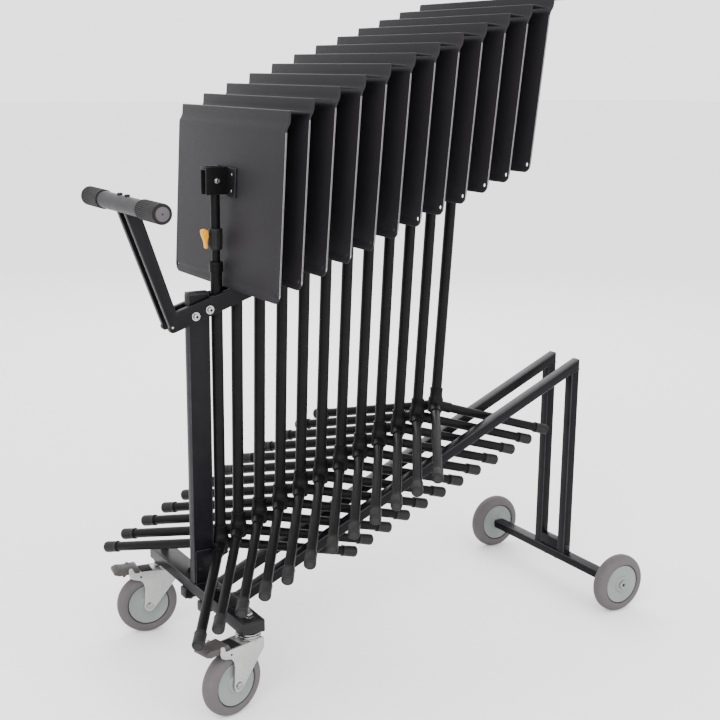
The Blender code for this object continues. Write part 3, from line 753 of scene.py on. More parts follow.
def rib_tree():
    """Ribs set evenly round a circle about Z."""
    builder, entry = group(
        "rib_ring",
        ("Rib", "Object"),
        ("Count", "Int"),
        ("Radius", "Float"),
        ("Finish", "Material"),
    )
    inputs = {"Vertices": entry["Count"], "Radius": entry["Radius"]}
    circle = builder.node("GeometryNodeMeshCircle", None, inputs)
    item = builder.node("GeometryNodeObjectInfo", None, {"Object": entry["Rib"]}, "Geometry")
    index = builder.node("GeometryNodeInputIndex")
    full_turn = builder.node(
        "ShaderNodeMath", {"operation": "DIVIDE"}, {0: 2 * math.pi, 1: entry["Count"]}
    )
    angle = builder.node("ShaderNodeCombineXYZ", None, {"Z": index * full_turn})
    turn = builder.node("FunctionNodeEulerToRotation", None, {"Euler": angle})
    inputs = {"Points": circle, "Instance": item, "Rotation": turn}
    placed = builder.node("GeometryNodeInstanceOnPoints", None, inputs)
    return close_group(builder, placed, entry["Finish"])


def bead_tree():
    """Overlapping weld ripples from one point to another, each a little different."""
    builder, entry = group(
        "weld_bead",
        ("Start", "Vector"),
        ("End", "Vector"),
        ("Count", "Int"),
        ("Size", "Float"),
        ("Seed", "Int"),
        ("Finish", "Material"),
    )
    inputs = {"Count": entry["Count"], "Start Location": entry["Start"], "Offset": entry["End"]}
    line = builder.node("GeometryNodeMeshLine", {"mode": "END_POINTS"}, inputs)
    inputs = {"Segments": 8, "Rings": 5, "Radius": entry["Size"]}
    ripple = builder.node("GeometryNodeMeshUVSphere", None, inputs)
    inputs = {2: 0.82, 3: 1.15, "Seed": entry["Seed"]}
    size = builder.node("FunctionNodeRandomValue", {"data_type": "FLOAT"}, inputs, 1)
    inputs = {"Points": line, "Instance": ripple, "Scale": size}
    placed = builder.node("GeometryNodeInstanceOnPoints", None, inputs)
    return close_group(builder, placed, entry["Finish"])


GROUPS = {}


def grown(name, kind, base, material, **inputs):
    """Run a Geometry Nodes tree on a mesh and return the result as a plain mesh."""
    makers = {"fastener": fastener_tree, "rib": rib_tree, "bead": bead_tree}
    if kind not in GROUPS:
        GROUPS[kind] = makers[kind]()
    tree = GROUPS[kind]
    holder = bpy.data.objects.new(name, base)
    bpy.context.scene.collection.objects.link(holder)
    modifier = holder.modifiers.new(kind, "NODES")
    modifier.node_group = tree
    for item in tree.interface.items_tree:
        label = item.name.replace(" ", "_")
        if item.in_out == "INPUT" and label in inputs:
            modifier[item.identifier] = inputs[label]
        if item.in_out == "INPUT" and label == "Finish":
            modifier[item.identifier] = material
    bpy.context.view_layer.update()
    graph = bpy.context.evaluated_depsgraph_get()
    result = bpy.data.meshes.new_from_object(holder.evaluated_get(graph))
    holder.modifiers.remove(modifier)
    bpy.data.objects.remove(holder, do_unlink=True)
    result.name = name
    finish_mesh(result, material)
    return result


def helper(shape, name, material):
    """A helper object that a Geometry Nodes tree copies."""
    item = bpy.data.objects.new(name, shape.mesh(name, material))
    bpy.context.scene.collection.objects.link(item)
    return item


def pieces_of(fastener, name, spots, material):
    """Copies of a fastener at (position, facing) spots, as one mesh."""
    item = helper(fastener, name + "_one", material)
    base = bpy.data.meshes.new(name)
    base.from_pydata([Vector(position) for position, _ in spots], [], [])
    facing = base.attributes.new("facing", "FLOAT_VECTOR", "POINT")
    flat = [value for _, direction in spots for value in Vector(direction).normalized()]
    facing.data.foreach_set("vector", flat)
    result = grown(name, "fastener", base, material, Fastener=item)
    bpy.data.objects.remove(item, do_unlink=True)
    return result


def rib_mesh(name, shape, count, radius, material):
    """Copies of a rib round a circle about Z, as one mesh."""
    item = helper(shape, name + "_one", material)
    base = bpy.data.meshes.new(name)
    result = grown(name, "rib", base, material, Rib=item, Count=count, Radius=radius)
    bpy.data.objects.remove(item, do_unlink=True)
    return result


def weld_mesh(name, lines, size, material):
    """Weld beads along (start, end) lines, as one mesh."""
    pitch = bpy.context.scene.trolley_sizes.bead_pitch
    joined = bmesh.new()
    for seed, (start, end) in enumerate(lines):
        length = (Vector(end) - Vector(start)).length
        bead = grown(
            "%s_%d" % (name, seed),
            "bead",
            bpy.data.meshes.new(name),
            material,
            Start=start,
            End=end,
            Count=max(3, round(length / pitch)),
            Size=size,
            Seed=seed,
        )
        joined.from_mesh(bead)
        bpy.data.meshes.remove(bead)
    result = bpy.data.meshes.new(name)
    joined.to_mesh(result)
    joined.free()
    finish_mesh(result, material)
    return result


def socket_bolt(radius, height, washer):
    """Cap bolt with a chamfered head, a hexagon socket and a washer under it."""
    shape = Shape()
    if washer:
        ring = ((0, 0), (washer, 0), (washer, 0.0010), (washer - 0.0003, 0.0013), (0, 0.0013))
        shape.lathe(ring, segments=24)
    low = 0.0012 if washer else 0.0
    recess = radius * 0.52
    head = (
        (0, low), (radius, low), (radius, low + height - 0.0007),
        (radius - 0.0007, low + height), (recess, low + height),
        (recess * 0.96, low + height * 0.45), (0, low + height * 0.42),
    )
    shape.lathe(head, segments=24)
    return shape


def pan_screw(radius, height):
    """Domed screw head with a cross recess."""
    shape = Shape()
    dome = [(0, 0), (radius, 0), (radius, height * 0.35)]
    for step in range(1, 5):
        angle = math.pi / 2 * step / 4
        level = height * (0.35 + 0.65 * math.sin(angle))
        dome.append((radius * math.cos(angle) * 0.98 if step < 4 else 0, level))
    shape.lathe(dome, segments=16)
    arm = radius * 0.62
    blade = radius * 0.11
    for turn in (0, math.pi / 2):
        place = Matrix.Rotation(turn, 4, "Z")
        low, high = (-arm, -blade, height * 0.7), (arm, blade, height * 1.02)
        shape.box(low, high, place)
    return shape


def hex_bolt(radius, height, washer):
    """Hexagon head on a washer."""
    shape = Shape()
    ring = ((0, 0), (washer, 0), (washer, 0.0009), (washer - 0.0003, 0.0012), (0, 0.0012))
    shape.lathe(ring, segments=24)
    shape.hexagon(radius, 0.0010, 0.0010 + height)
    return shape


class TROLLEY_OT_frame(bpy.types.Operator):
    """Build the crossbar, rails, uprights and axle bar"""

    bl_idname = "trolley.frame"
    bl_label = "Welded Frame"

    def execute(self, context):
        edge = context.scene.trolley_sizes.tube_edge
        (x0, y0, z0), (x1, y1, z1) = CROSSBAR
        lip = 0.0016
        bar = Shape(LAYOUT)
        bar.box((x0, y0 + lip, z0), (x1, y1 - lip, z1), edge=edge, steps=3)
        bar.piece("crossbar_tube", "trolley", "trolley", "trolley_paint", "crossbar_front")
        ends = Shape(LAYOUT)
        for y_low, y_high in ((y0, y0 + 0.004), (y1 - 0.004, y1)):
            low = (x0 + 0.0006, y_low, z0 + 0.0006)
            ends.box(low, (x1 - 0.0006, y_high, z1 - 0.0006), edge=0.0012)
        ends.piece("crossbar_end_plugs", "plug", "trolley", "trolley_paint")
        for side, label in SIDES:
            self.rail(side, label, edge)
        self.axle(edge, context.scene.trolley_sizes.plate_edge)
        return {"FINISHED"}

    def rail(self, side, label, edge):
        """One rail, level under the crossbar and sloping behind it, with its upright."""
        low = side * RAIL_Y - RAIL_WIDTH / 2
        high = low + RAIL_WIDTH
        end = UPRIGHT_X[1]
        seat = CROSSBAR[0][2] - TOUCH_GAP
        under = seat - RAIL_DEPTH
        rise = math.tan(RAIL_ANGLE)
        outline = (
            (RAIL_START, under),
            ((under - rail_bottom(0)) / rise, under),
            (end, rail_bottom(end)), (end, rail_top(end)),
            ((seat - rail_top(0)) / rise, seat),
            (RAIL_START, seat),
        )
        rail = Shape(LAYOUT)
        rail.prism(outline, low, high, edge=edge, steps=3)
        rail.piece("rail_tube_" + label, "trolley", "trolley", "trolley_paint", "rail_" + label)
        foot = UPRIGHT_FOOT
        upright = Shape(LAYOUT)
        outline = (
            (UPRIGHT_X[0], foot), (UPRIGHT_X[1], foot),
            (UPRIGHT_X[1], rail_bottom(UPRIGHT_X[1]) + 0.002),
            (UPRIGHT_X[0], rail_bottom(UPRIGHT_X[0]) + 0.002),
        )
        upright.prism(outline, low, high, edge=edge, steps=3)
        name = "upright_tube_" + label
        upright.piece(name, "trolley", "trolley", "trolley_paint", "upright_" + label)
        plugs = Shape(LAYOUT)
        front = RAIL_START - 0.0008
        plugs.box(
            (front, low + 0.0012, under + 0.002),
            (front + 0.004, high - 0.0012, seat - 0.002),
            edge=0.0008,
        )
        outer = (low, low - 0.0012) if side < 0 else (high, high + 0.0012)
        plugs.box(
            (UPRIGHT_X[0] + 0.003, min(outer), foot + 0.002),
            (UPRIGHT_X[1] - 0.003, max(outer) + 0.0002, foot + 0.019),
            edge=0.0005,
        )
        plugs.piece("rail_plugs_" + label, "plug", "trolley", "trolley_paint")

    def axle(self, edge, plate_edge):
        """Rear bar, its cross plate and the wheel pins."""
        bar = Shape(LAYOUT)
        bar.box(
            (AXLE_X - 0.013, -0.2010, WHEEL_RADIUS - AXLE_BAR_HALF),
            (AXLE_X + 0.013, 0.2010, WHEEL_RADIUS + AXLE_BAR_HALF),
            edge=edge,
            steps=3,
        )
        bar.box((0.8917, -0.0279, 0.0640), (0.9101, 0.0279, 0.0960), edge=plate_edge)
        bar.piece("axle_tube", "trolley", "trolley", "trolley_paint", "axle_bar")
        pins = Shape(LAYOUT)
        dark = Shape(LAYOUT)
        for side, _ in SIDES:
            place = along((0, side, 0), (AXLE_X, 0, WHEEL_RADIUS))
            collar = ((0, 0.1960), (0.0075, 0.1960), (0.0075, 0.2022), (0.0053, 0.2023))
            tip = ((0.0053, 0.2350), (0.0095, 0.2350), (0.0095, 0.2380), (0.0082, 0.2393))
            bore = ((0.0044, 0.2393), (0.0040, 0.2388), (0.0038, 0.2360), (0, 0.2360))
            pins.lathe((*collar, *tip, *bore), place)
            # Painted shade: a thin dark disc at the bottom of each pin's end bore, standing in for
            # the shade inside it.
            dark.lathe(((0, 0.2358), (0.0037, 0.2358), (0.0037, 0.2368), (0, 0.2368)), place, 24)
        pins.piece("rear_axle_pins", "hub", "trolley", "zinc_steel")
        dark.piece("rear_axle_sockets", "groove", "trolley", "zinc_steel")


class TROLLEY_OT_post(bpy.types.Operator):
    """Build the flat post and the bracket at its foot"""

    bl_idname = "trolley.post"
    bl_label = "Post and Bracket"

    def execute(self, context):
        edge = context.scene.trolley_sizes.plate_edge
        foot = CROSSBAR[1][2] + TOUCH_GAP
        post = Shape(LAYOUT)
        post.box((0, -0.0095, foot), (0.043, 0.0095, POST_TOP - 0.003), edge=0.0022, steps=3)
        post.piece("post_tube", "trolley", "trolley", "trolley_paint", "post")
        cap = Shape(LAYOUT)
        cap.box((0.0004, -0.0091, POST_TOP - 0.006), (0.0426, 0.0091, POST_TOP), edge=0.0018)
        cap.piece("post_top_plug", "plug", "trolley", "trolley_paint")
        bracket = Shape(LAYOUT)
        rest = 0.2302
        cheek = (
            (0.003, foot), (0.049, foot), (0.049, rest - 0.003), (0.036, 0.242),
            (0.003, 0.242),
        )
        cheek = fillet(cheek, (0.0, 0.0, 0.003, 0.004, 0.004))
        back = 0.0433
        web = (
            (back, foot + 0.001), (back + 0.004, foot + 0.001),
            (back + 0.004, rest - 0.014), (0.072, rest - 0.004), (0.072, rest),
            (back, rest),
        )
        for side, _ in SIDES:
            low, high = sorted((side * CHEEK_INNER_Y, side * CHEEK_OUTER_Y))
            bracket.prism(cheek, low, high, edge=edge)
        bracket.prism(web, -0.0118, 0.0118, edge=edge)
        name = "post_bracket_plates"
        bracket.piece(name, "trolley", "trolley", "trolley_paint", "post_bracket")
        return {"FINISHED"}


class TROLLEY_OT_handle(bpy.types.Operator):
    """Build the two arms, the push tube and its ribbed grips"""

    bl_idname = "trolley.handle"
    bl_label = "Push Handle"

    def execute(self, context):
        centre = Vector((HANDLE_X, 0, HANDLE_Z))
        for side, label in SIDES:
            low, high = sorted((side * ARM_INNER_Y, side * ARM_OUTER_Y))
            arm = Shape(LAYOUT)
            arm.prism(self.arm_outline(), low, high, edge=0.0014, steps=3)
            for x, z in ARM_BOLTS:
                spacer = ((0, 0.0098), (0.008, 0.0098), (0.008, 0.0125), (0, 0.0125))
                arm.lathe(spacer, along((0, side, 0), (x, 0, z)), 24)
            node = "handle_arm_" + label
            arm.piece("arm_" + label, "trolley", "trolley", "trolley_paint", node)
        tube = Shape(LAYOUT)
        profile = (
            (0, -HANDLE_HALF), (HANDLE_RADIUS, -HANDLE_HALF), (HANDLE_RADIUS, HANDLE_HALF),
            (0, HANDLE_HALF),
        )
        tube.lathe(profile, along((0, 1, 0), centre), 48)
        tube.piece("push_tube", "handle", "trolley", "handle_grey", "handle_tube")
        for side, label in SIDES:
            self.grip(side, label, centre, context.scene.trolley_sizes.grip_ribs)
        return {"FINISHED"}

    def arm_outline(self):
        """Bent arm, hollowed at the top to take the push tube."""
        centre = Vector((HANDLE_X, HANDLE_Z))
        reach = HANDLE_RADIUS + 0.0002
        body = fillet(ARM_OUTLINE[1:7], (0.004, 0.003, 0.004, 0.002, 0.002, 0.006), 3)
        saddle = []
        for start, end in ((ARM_OUTLINE[6], ARM_OUTLINE[7]), (ARM_OUTLINE[1], ARM_OUTLINE[0])):
            run = Vector(end) - Vector(start)
            offset = Vector(start) - centre
            a = run.dot(run)
            b = 2 * offset.dot(run)
            c = offset.dot(offset) - reach**2
            root = b * b - 4 * a * c
            t = (-b - math.sqrt(root)) / (2 * a) if root > 0 else -b / (2 * a)
            saddle.append(Vector(start) + run * t)
        angles = [math.atan2(p.y - HANDLE_Z, p.x - HANDLE_X) for p in saddle]
        first, last = angles
        if last > first:
            last -= 2 * math.pi
        steps = 10
        curve = []
        for step in range(steps + 1):
            angle = first + (last - first) * step / steps
            curve.append((centre.x + reach * math.cos(angle), centre.y + reach * math.sin(angle)))
        return [*body, *curve]

    def grip(self, side, label, centre, count):
        """One rubber grip with fine ribs along it and a pale end disc."""
        place = LAYOUT @ along((0, side, 0), centre)
        core = Shape()
        radius = GRIP_RADIUS - 0.0006
        inner = HANDLE_RADIUS + 0.0002
        profile = (
            (0, 0.1655), (inner, 0.1655), (inner, GRIP_START),
            (GRIP_RADIUS - 0.0012, GRIP_START), (GRIP_RADIUS, GRIP_START + 0.0012),
            (GRIP_RADIUS, GRIP_START + 0.0035), (radius, GRIP_START + 0.0045),
            (radius, GRIP_END - 0.0075), (GRIP_RADIUS, GRIP_END - 0.0065),
            (GRIP_RADIUS, GRIP_END - 0.0022), (GRIP_RADIUS - 0.0022, GRIP_END),
            (0.0130, GRIP_END), (0.0126, GRIP_END - 0.0006), (0, GRIP_END - 0.0006),
        )
        core.lathe(profile, place, 64)
        node = "handle_grip_" + label
        core.piece("grip_core_" + label, "grip_core", "trolley", "grip_rubber", node)
        rib = Shape()
        rib.box(
            (-0.0007, -0.00052, GRIP_START + 0.004), (0.0006, 0.00052, GRIP_END - 0.007),
            edge=0.0003,
            steps=1,
        )
        ribs = rib_mesh("grip_ribs_" + label, rib, count, radius, finishes()["grip"])
        ribs.transform(place)
        add_piece("grip_ribs_" + label, ribs, "trolley", "grip_rubber")
        disc = Shape()
        low = GRIP_END - 0.0008
        face = (
            (0, low), (0.0124, low), (0.0124, GRIP_END - 0.0004),
            (0.0118, GRIP_END - 0.0002), (0.0022, GRIP_END - 0.0002),
            (0, GRIP_END - 0.0003),
        )
        disc.lathe(face, place, 48)
        disc.piece("grip_disc_" + label, "grip_disc", "trolley", "grip_rubber")
        dimple = Shape()
        dent = ((0, low), (0.0018, low), (0.0016, GRIP_END), (0, GRIP_END - 0.0003))
        dimple.lathe(dent, place, 16)
        dimple.piece("grip_dimple_" + label, "groove", "trolley", "grip_rubber")


def wheel_shapes(groove):
    """Tyre, wheel centre and groove ring about the local Z."""
    half = 0.016
    tyre = Shape()
    inner = groove + 0.0011
    side = [
        (inner, half - 0.0022), (inner + 0.0012, half - 0.0006), (0.0475, half - 0.0002),
        (0.0515, half - 0.0004), (0.0560, half - 0.0022), (0.0592, half - 0.0050),
        (0.0613, half - 0.0086), (0.0622, half - 0.0122), (0.0625, half - 0.0160),
    ]
    profile = [(radius, -height) for radius, height in side]
    profile += [(radius, height) for radius, height in reversed(side[:-1])]
    tyre.lathe(profile, segments=72, ring=True)
    centre = Shape()
    face = [
        (0.0062, half - 0.0004), (0.0080, half - 0.0001), (0.0158, half - 0.0003),
        (0.0172, half - 0.0012), (0.0180, half - 0.0030), (0.0205, half - 0.0036),
        (0.0380, half - 0.0034), (groove - 0.0018, half - 0.0022),
        (groove - 0.0006, half - 0.0030),
    ]
    profile = [(radius, -height) for radius, height in face]
    profile += [(radius, height) for radius, height in reversed(face)]
    centre.lathe(profile, segments=64, ring=True)
    band = Shape()
    depth = half - 0.0042
    ring = ((groove - 0.0012, -depth), (groove + 0.0016, -depth), (groove + 0.0016, depth))
    band.lathe((*ring, (groove - 0.0012, depth)), segments=64, ring=True)
    return tyre, centre, band


class TROLLEY_OT_wheels(bpy.types.Operator):
    """Build the four tyred wheels"""

    bl_idname = "trolley.wheels"
    bl_label = "Wheels"

    def execute(self, context):
        groove = context.scene.trolley_sizes.groove_radius
        looks = finishes()
        tyre, centre, band = wheel_shapes(groove)
        tyre = tyre.mesh("tyre", looks["tyre"])
        centre = centre.mesh("wheel_centre", looks["hub"])
        band = band.mesh("wheel_groove", looks["groove"])
        wheels = [("wheel_rear_" + label, "wheel_rear_%s_spin" % label) for _, label in SIDES]
        wheels += [
            ("caster_%s_wheel" % label, "caster_%s_spin" % label) for _, label in SIDES
        ]
        for body, joint in wheels:
            place = along(JOINTS[joint]["axis"], JOINTS[joint]["pos_m"])
            for part, mesh in (("tyre", tyre), ("centre", centre), ("groove", band)):
                copy = moved_copy(mesh, place)
                nodes = (body,) if part == "tyre" else ()
                add_piece("%s_%s" % (body, part), copy, body, "grey_tyre", *nodes)
        return {"FINISHED"}


class TROLLEY_OT_casters(bpy.types.Operator):
    """Build the swivel forks, stems and brake pedals"""

    bl_idname = "trolley.casters"
    bl_label = "Swivel Casters"

    def execute(self, context):
        rivets = [((0.0560, side * 0.0211, 0.1275), (0, side, 0)) for side, _ in SIDES]
        for _, label in SIDES:
            place, trail = caster_place(label)
            name = "caster_" + label
            body = name + "_swivel"
            fork, ring = self.fork(place, trail)
            fork.piece(name + "_fork_plates", "zinc", body, "zinc_steel", name + "_fork")
            ring.piece(name + "_race", "bright", body, "zinc_steel")
            self.shoe(place).piece(name + "_brake_shoe", "groove", body, "zinc_steel")
            bolt = self.wheel_bolt(place, trail)
            bolt.piece(name + "_wheel_bolt", "bright", body, "zinc_steel")
            stem = self.stem(place)
            stem.piece(name + "_stem_stack", "bright", "trolley", "zinc_steel", name + "_stem")
            pedal = name + "_pedal"
            self.pedal(place).piece(pedal + "_tread", "pedal", pedal, "grey_plastic", pedal)
            dark = finishes()["dark_bolt"]
            mesh = pieces_of(pan_screw(0.0022, 0.0010), name + "_rivets", rivets, dark)
            mesh.transform(place)
            add_piece(name + "_rivets", mesh, body, "zinc_steel")
        return {"FINISHED"}

    def fork(self, place, trail):
        """Bent fork: swivel race, crown and two side plates."""
        half = FORK_HALF_WIDTH
        shape = Shape(place)
        ring = Shape(place)
        crown = (
            (-half + 0.0004, 0.1315), (half - 0.0004, 0.1315), (half - 0.0004, 0.1345),
            (half - 0.0026, 0.1366), (-half + 0.0026, 0.1366), (-half + 0.0004, 0.1345),
        )
        across = Matrix.Rotation(math.radians(90), 4, "Z")
        shape.prism(crown, -0.0660, 0.0190, across, edge=0.0006)
        outline = fillet(FORK_OUTLINE, 0.0022, 3)
        for side, _ in SIDES:
            low, high = sorted((side * (half - FORK_SHEET), side * half))
            shape.prism(outline, low, high, edge=0.0006)
        race = (
            (0, 0.1340), (0.0188, 0.1340), (0.0226, 0.1372), (0.0235, 0.1388),
            (0.0235, 0.1404), (0.0222, 0.1412), (0.0222, 0.1420), (0.0234, 0.1428),
            (0.0234, 0.1440), (0.0222, 0.1452), (0, 0.1452),
        )
        ring.lathe(race, segments=56)
        for side, _ in SIDES:
            boss = ((0, 0.0205), (0.0105, 0.0205), (0.0105, 0.0216), (0.0098, 0.0220), (0, 0.0220))
            shape.lathe(boss, along((0, side, 0), (trail, 0, WHEEL_RADIUS)), 32)
        return shape, ring

    def shoe(self, place):
        """Dark cover on the crown and the brake shoe's spring under the pedal."""
        shape = Shape(place)
        shape.box((0.0300, -0.0168, 0.1360), (0.0540, 0.0168, 0.1376), edge=0.0006)
        shape.box((0.0530, -0.0120, 0.1262), (0.0640, 0.0120, 0.1318), edge=0.0010)
        spring = (
            (0.0700, 0.1325), (0.0760, 0.1318), (0.0870, 0.1240), (0.0885, 0.1252),
            (0.0780, 0.1330),
        )
        shape.prism(spring, -0.0035, 0.0035, edge=0.0004)
        return shape

    def wheel_bolt(self, place, trail):
        """Through bolt with a head, a nut and a washer on each side."""
        shape = Shape(place)
        for side, _ in SIDES:
            turn = along((0, side, 0), (trail, 0, WHEEL_RADIUS))
            washer = ((0, 0.0215), (0.0085, 0.0215), (0.0085, 0.0226), (0, 0.0226))
            shape.lathe(washer, turn, 32)
            shape.hexagon(0.0068, 0.0224, 0.0250, turn, 0.0006)
            tip = ((0, 0.0248), (0.0032, 0.0248), (0.0032, 0.0254), (0.0026, 0.0257), (0, 0.0257))
            shape.lathe(tip, turn, 20)
        pin = ((0, -0.0190), (0.0053, -0.0190), (0.0053, 0.0190), (0, 0.0190))
        shape.lathe(pin, along((0, 1, 0), (trail, 0, WHEEL_RADIUS)), 24)
        return shape

    def stem(self, place):
        """Top race under the crossbar, then washer, nut and threaded stud above it."""
        shape = Shape(place)
        top = CROSSBAR[1][2] + TOUCH_GAP
        race = (
            (0, 0.1455), (0.0205, 0.1455), (0.0225, 0.1468), (0.0225, 0.1488),
            (0.0190, 0.1507), (0, 0.1507),
        )
        shape.lathe(race, segments=48)
        shaft = ((0, 0.1500), (0.0058, 0.1500), (0.0058, top + 0.0005), (0, top + 0.0005))
        shape.lathe(shaft, segments=24)
        washer = ((0, top), (0.0095, top), (0.0095, top + 0.0012), (0, top + 0.0012))
        shape.lathe(washer, segments=32)
        shape.hexagon(0.0088, top + 0.0011, top + 0.0095, None, 0.0009)
        thread = [(0, top + 0.0080)]
        turns = 5
        for step in range(turns):
            height = top + 0.0094 + step * 0.0010
            thread += [(0.0050, height), (0.0043, height + 0.0005)]
        thread += [(0.0036, top + 0.0149), (0, top + 0.0149)]
        shape.lathe(thread, segments=24)
        return shape

    def pedal(self, place):
        """Broad brake pedal with grip ridges across its tread."""
        shape = Shape(place)
        shape.prism(fillet(PEDAL_OUTLINE, 0.0016, 3), -0.0182, 0.0182, edge=0.0010)
        for step in range(4):
            u = 0.0900 + step * 0.0038
            z = 0.1466 if step < 2 else 0.1472 - 0.0004 * (step - 2)
            low = (u, -0.0160, z - 0.0012)
            shape.box(low, (u + 0.0014, 0.0160, z + 0.0003), edge=0.0003, steps=1)
        return shape


class TROLLEY_OT_bases(bpy.types.Operator):
    """Build the castings, masts, legs and rubber feet of the stands"""

    bl_idname = "trolley.bases"
    bl_label = "Stand Bases"

    def execute(self, context):
        looks = finishes()
        casting = self.casting().mesh("stand_casting", looks["casting"])
        tubes = self.tubes().mesh("stand_tubes", looks["stand"])
        feet, discs = self.feet()
        feet = feet.mesh("stand_feet", looks["cap"])
        discs = discs.mesh("stand_foot_discs", looks["cap_disc"])
        for number in range(1, STAND_COUNT + 1):
            place = stand_place(number)
            name = "stand_%02d_" % number
            body = name + "base"
            parts = (
                ("tubes", tubes, "stand_paint", (body,)),
                ("casting", casting, "stand_paint", ()),
                ("feet", feet, "stand_paint", ()),
                ("foot_discs", discs, "stand_paint", ()),
            )
            for part, mesh, slot, nodes in parts:
                add_piece(name + part, moved_copy(mesh, place), body, slot, *nodes)
        return {"FINISHED"}

    def leg_frames(self):
        """Frames whose Z runs out along each leg."""
        frames = []
        for turn in (0, 120, 240):
            level = math.cos(LEG_SLOPE)
            angle = math.radians(turn) + LEG_YAW
            axis = (level * math.cos(angle), level * math.sin(angle), -math.sin(LEG_SLOPE))
            frames.append(along(axis))
        return frames

    def casting(self):
        """Die-cast hub with a flared neck and three leg sockets."""
        shape = Shape()
        hub = (
            (0, -0.0155), (0.0130, -0.0155), (0.0150, -0.0146), (0.0159, -0.0125),
            (0.0159, 0.0120), (0.0152, 0.0148), (0.0138, 0.0165), (0.0131, 0.0210),
            (0.0131, 0.0305), (0.0137, 0.0320), (0.0137, 0.0352), (0.0128, 0.0362),
            (0, 0.0362),
        )
        shape.lathe(hub, segments=40)
        socket = (
            (0, 0.004), (0.0104, 0.004), (0.0109, 0.0330), (0.0112, 0.0345),
            (0.0112, 0.0375), (0.0104, 0.0388), (0, 0.0388),
        )
        for place in self.leg_frames():
            shape.lathe(socket, place, 32)
        return shape

    def tubes(self):
        """Lower mast with its top collar, and the three leg tubes."""
        shape = Shape()
        mast = (
            (0, 0.010), (0.0109, 0.010), (0.0109, 0.5275), (0.0122, 0.5278),
            (0.0129, 0.5290), (0.0129, 0.5395), (0.0124, 0.5402), (0.0129, 0.5410),
            (0.0129, 0.5452), (0.0118, 0.5469), (0.0083, 0.5469), (0.0083, 0.5300),
            (0, 0.5300),
        )
        shape.lathe(mast, segments=40)
        leg = ((0, 0.020), (0.0094, 0.020), (0.0094, 0.2900), (0.0080, 0.3000), (0, 0.3000))
        for place in self.leg_frames():
            shape.lathe(leg, place, 28)
        return shape

    def feet(self):
        """Rubber caps with a skirt bead, and the round pad on each end."""
        caps = Shape()
        discs = Shape()
        start = LEG_LENGTH - 0.0340
        cap = (
            (0, start), (0.0090, start), (0.0106, start), (0.0115, start + 0.0008),
            (0.0115, start + 0.0038), (0.0109, start + 0.0050), (0.0111, start + 0.0080),
            (0.0115, LEG_LENGTH - 0.0050), (0.0112, LEG_LENGTH - 0.0022),
            (0.0102, LEG_LENGTH - 0.0008), (0.0086, LEG_LENGTH - 0.0002),
            (0.0078, LEG_LENGTH - 0.0008), (0, LEG_LENGTH - 0.0008),
        )
        disc = (
            (0, LEG_LENGTH - 0.0010), (0.0076, LEG_LENGTH - 0.0010),
            (0.0074, LEG_LENGTH - 0.0003), (0.0060, LEG_LENGTH), (0, LEG_LENGTH),
        )
        for place in self.leg_frames():
            caps.lathe(cap, place, 32)
            discs.lathe(disc, place, 28)
        return caps, discs


class TROLLEY_OT_risers(bpy.types.Operator):
    """Build the inner tubes, clutches, tilt pins and levers of the stands"""

    bl_idname = "trolley.risers"
    bl_label = "Stand Risers"

    def execute(self, context):
        looks = finishes()
        rod, clutch = self.riser()
        rod = rod.mesh("riser_tube", looks["stand"])
        clutch = clutch.mesh("riser_clutch", looks["cap"])
        rib = Shape()
        rib.box((-0.0004, -0.0007, 0.5760), (0.0007, 0.0007, 0.6020), edge=0.0003, steps=1)
        count = context.scene.trolley_sizes.clutch_ribs
        ribs = rib_mesh("clutch_ribs", rib, count, 0.0123, looks["cap"])
        heads = [((0, side * 0.0115, TILT_PIN_Z), (0, side, 0)) for side, _ in SIDES]
        pins = pieces_of(socket_bolt(0.0042, 0.0028, 0.0055), "tilt_pins", heads, looks["bright"])
        lever = self.lever().mesh("side_lever", looks["lever"])
        for number in range(1, STAND_COUNT + 1):
            place = stand_place(number)
            name = "stand_%02d_" % number
            body = name + "riser"
            parts = [
                ("riser_tube", rod, "stand_paint", (body,)),
                ("clutch", clutch, "stand_paint", ()),
                ("clutch_ribs", ribs, "stand_paint", ()),
                ("tilt_pin", pins, "zinc_steel", ()),
            ]
            for part, mesh, slot, nodes in parts:
                add_piece(name + part, moved_copy(mesh, place), body, slot, *nodes)
            if number > 1:
                aside = place @ Matrix.Rotation(math.radians(-90), 4, "Z")
                add_piece(name + "side_lever", moved_copy(lever, aside), body, "lever_yellow")
        mesh = moved_copy(lever, stand_place(1))
        add_piece("clutch_lever", mesh, "stand_01_lever", "lever_yellow", "stand_01_lever")
        return {"FINISHED"}

    def riser(self):
        """Inner tube with its top plug, and the clutch body round it."""
        tube = Shape()
        profile = (
            (0, 0.2200), (0.0079, 0.2200), (0.0079, 0.5700), (0.0088, 0.5720),
            (0.0089, 0.7080), (0.0084, 0.7100), (0.0070, 0.7118), (0, 0.7118),
        )
        tube.lathe(profile, segments=36)
        clutch = Shape()
        body = (
            (0, 0.5692), (0.0104, 0.5692), (0.0118, 0.5705), (0.0128, 0.5735),
            (0.0124, 0.5750), (0.0123, 0.6025), (0.0129, 0.6040), (0.0129, 0.6062),
            (0.0120, 0.6078), (0.0100, 0.6089), (0, 0.6089),
        )
        clutch.lathe(body, segments=40)
        return tube, clutch

    def lever(self):
        """Curved thumb lever, thick at its pivot and thin at its tip."""
        shape = Shape()
        outline = fillet(LEVER_OUTLINE, 0.0035, 4)
        shape.prism(outline, -0.0039, 0.0039, edge=0.0016, steps=3)
        return shape


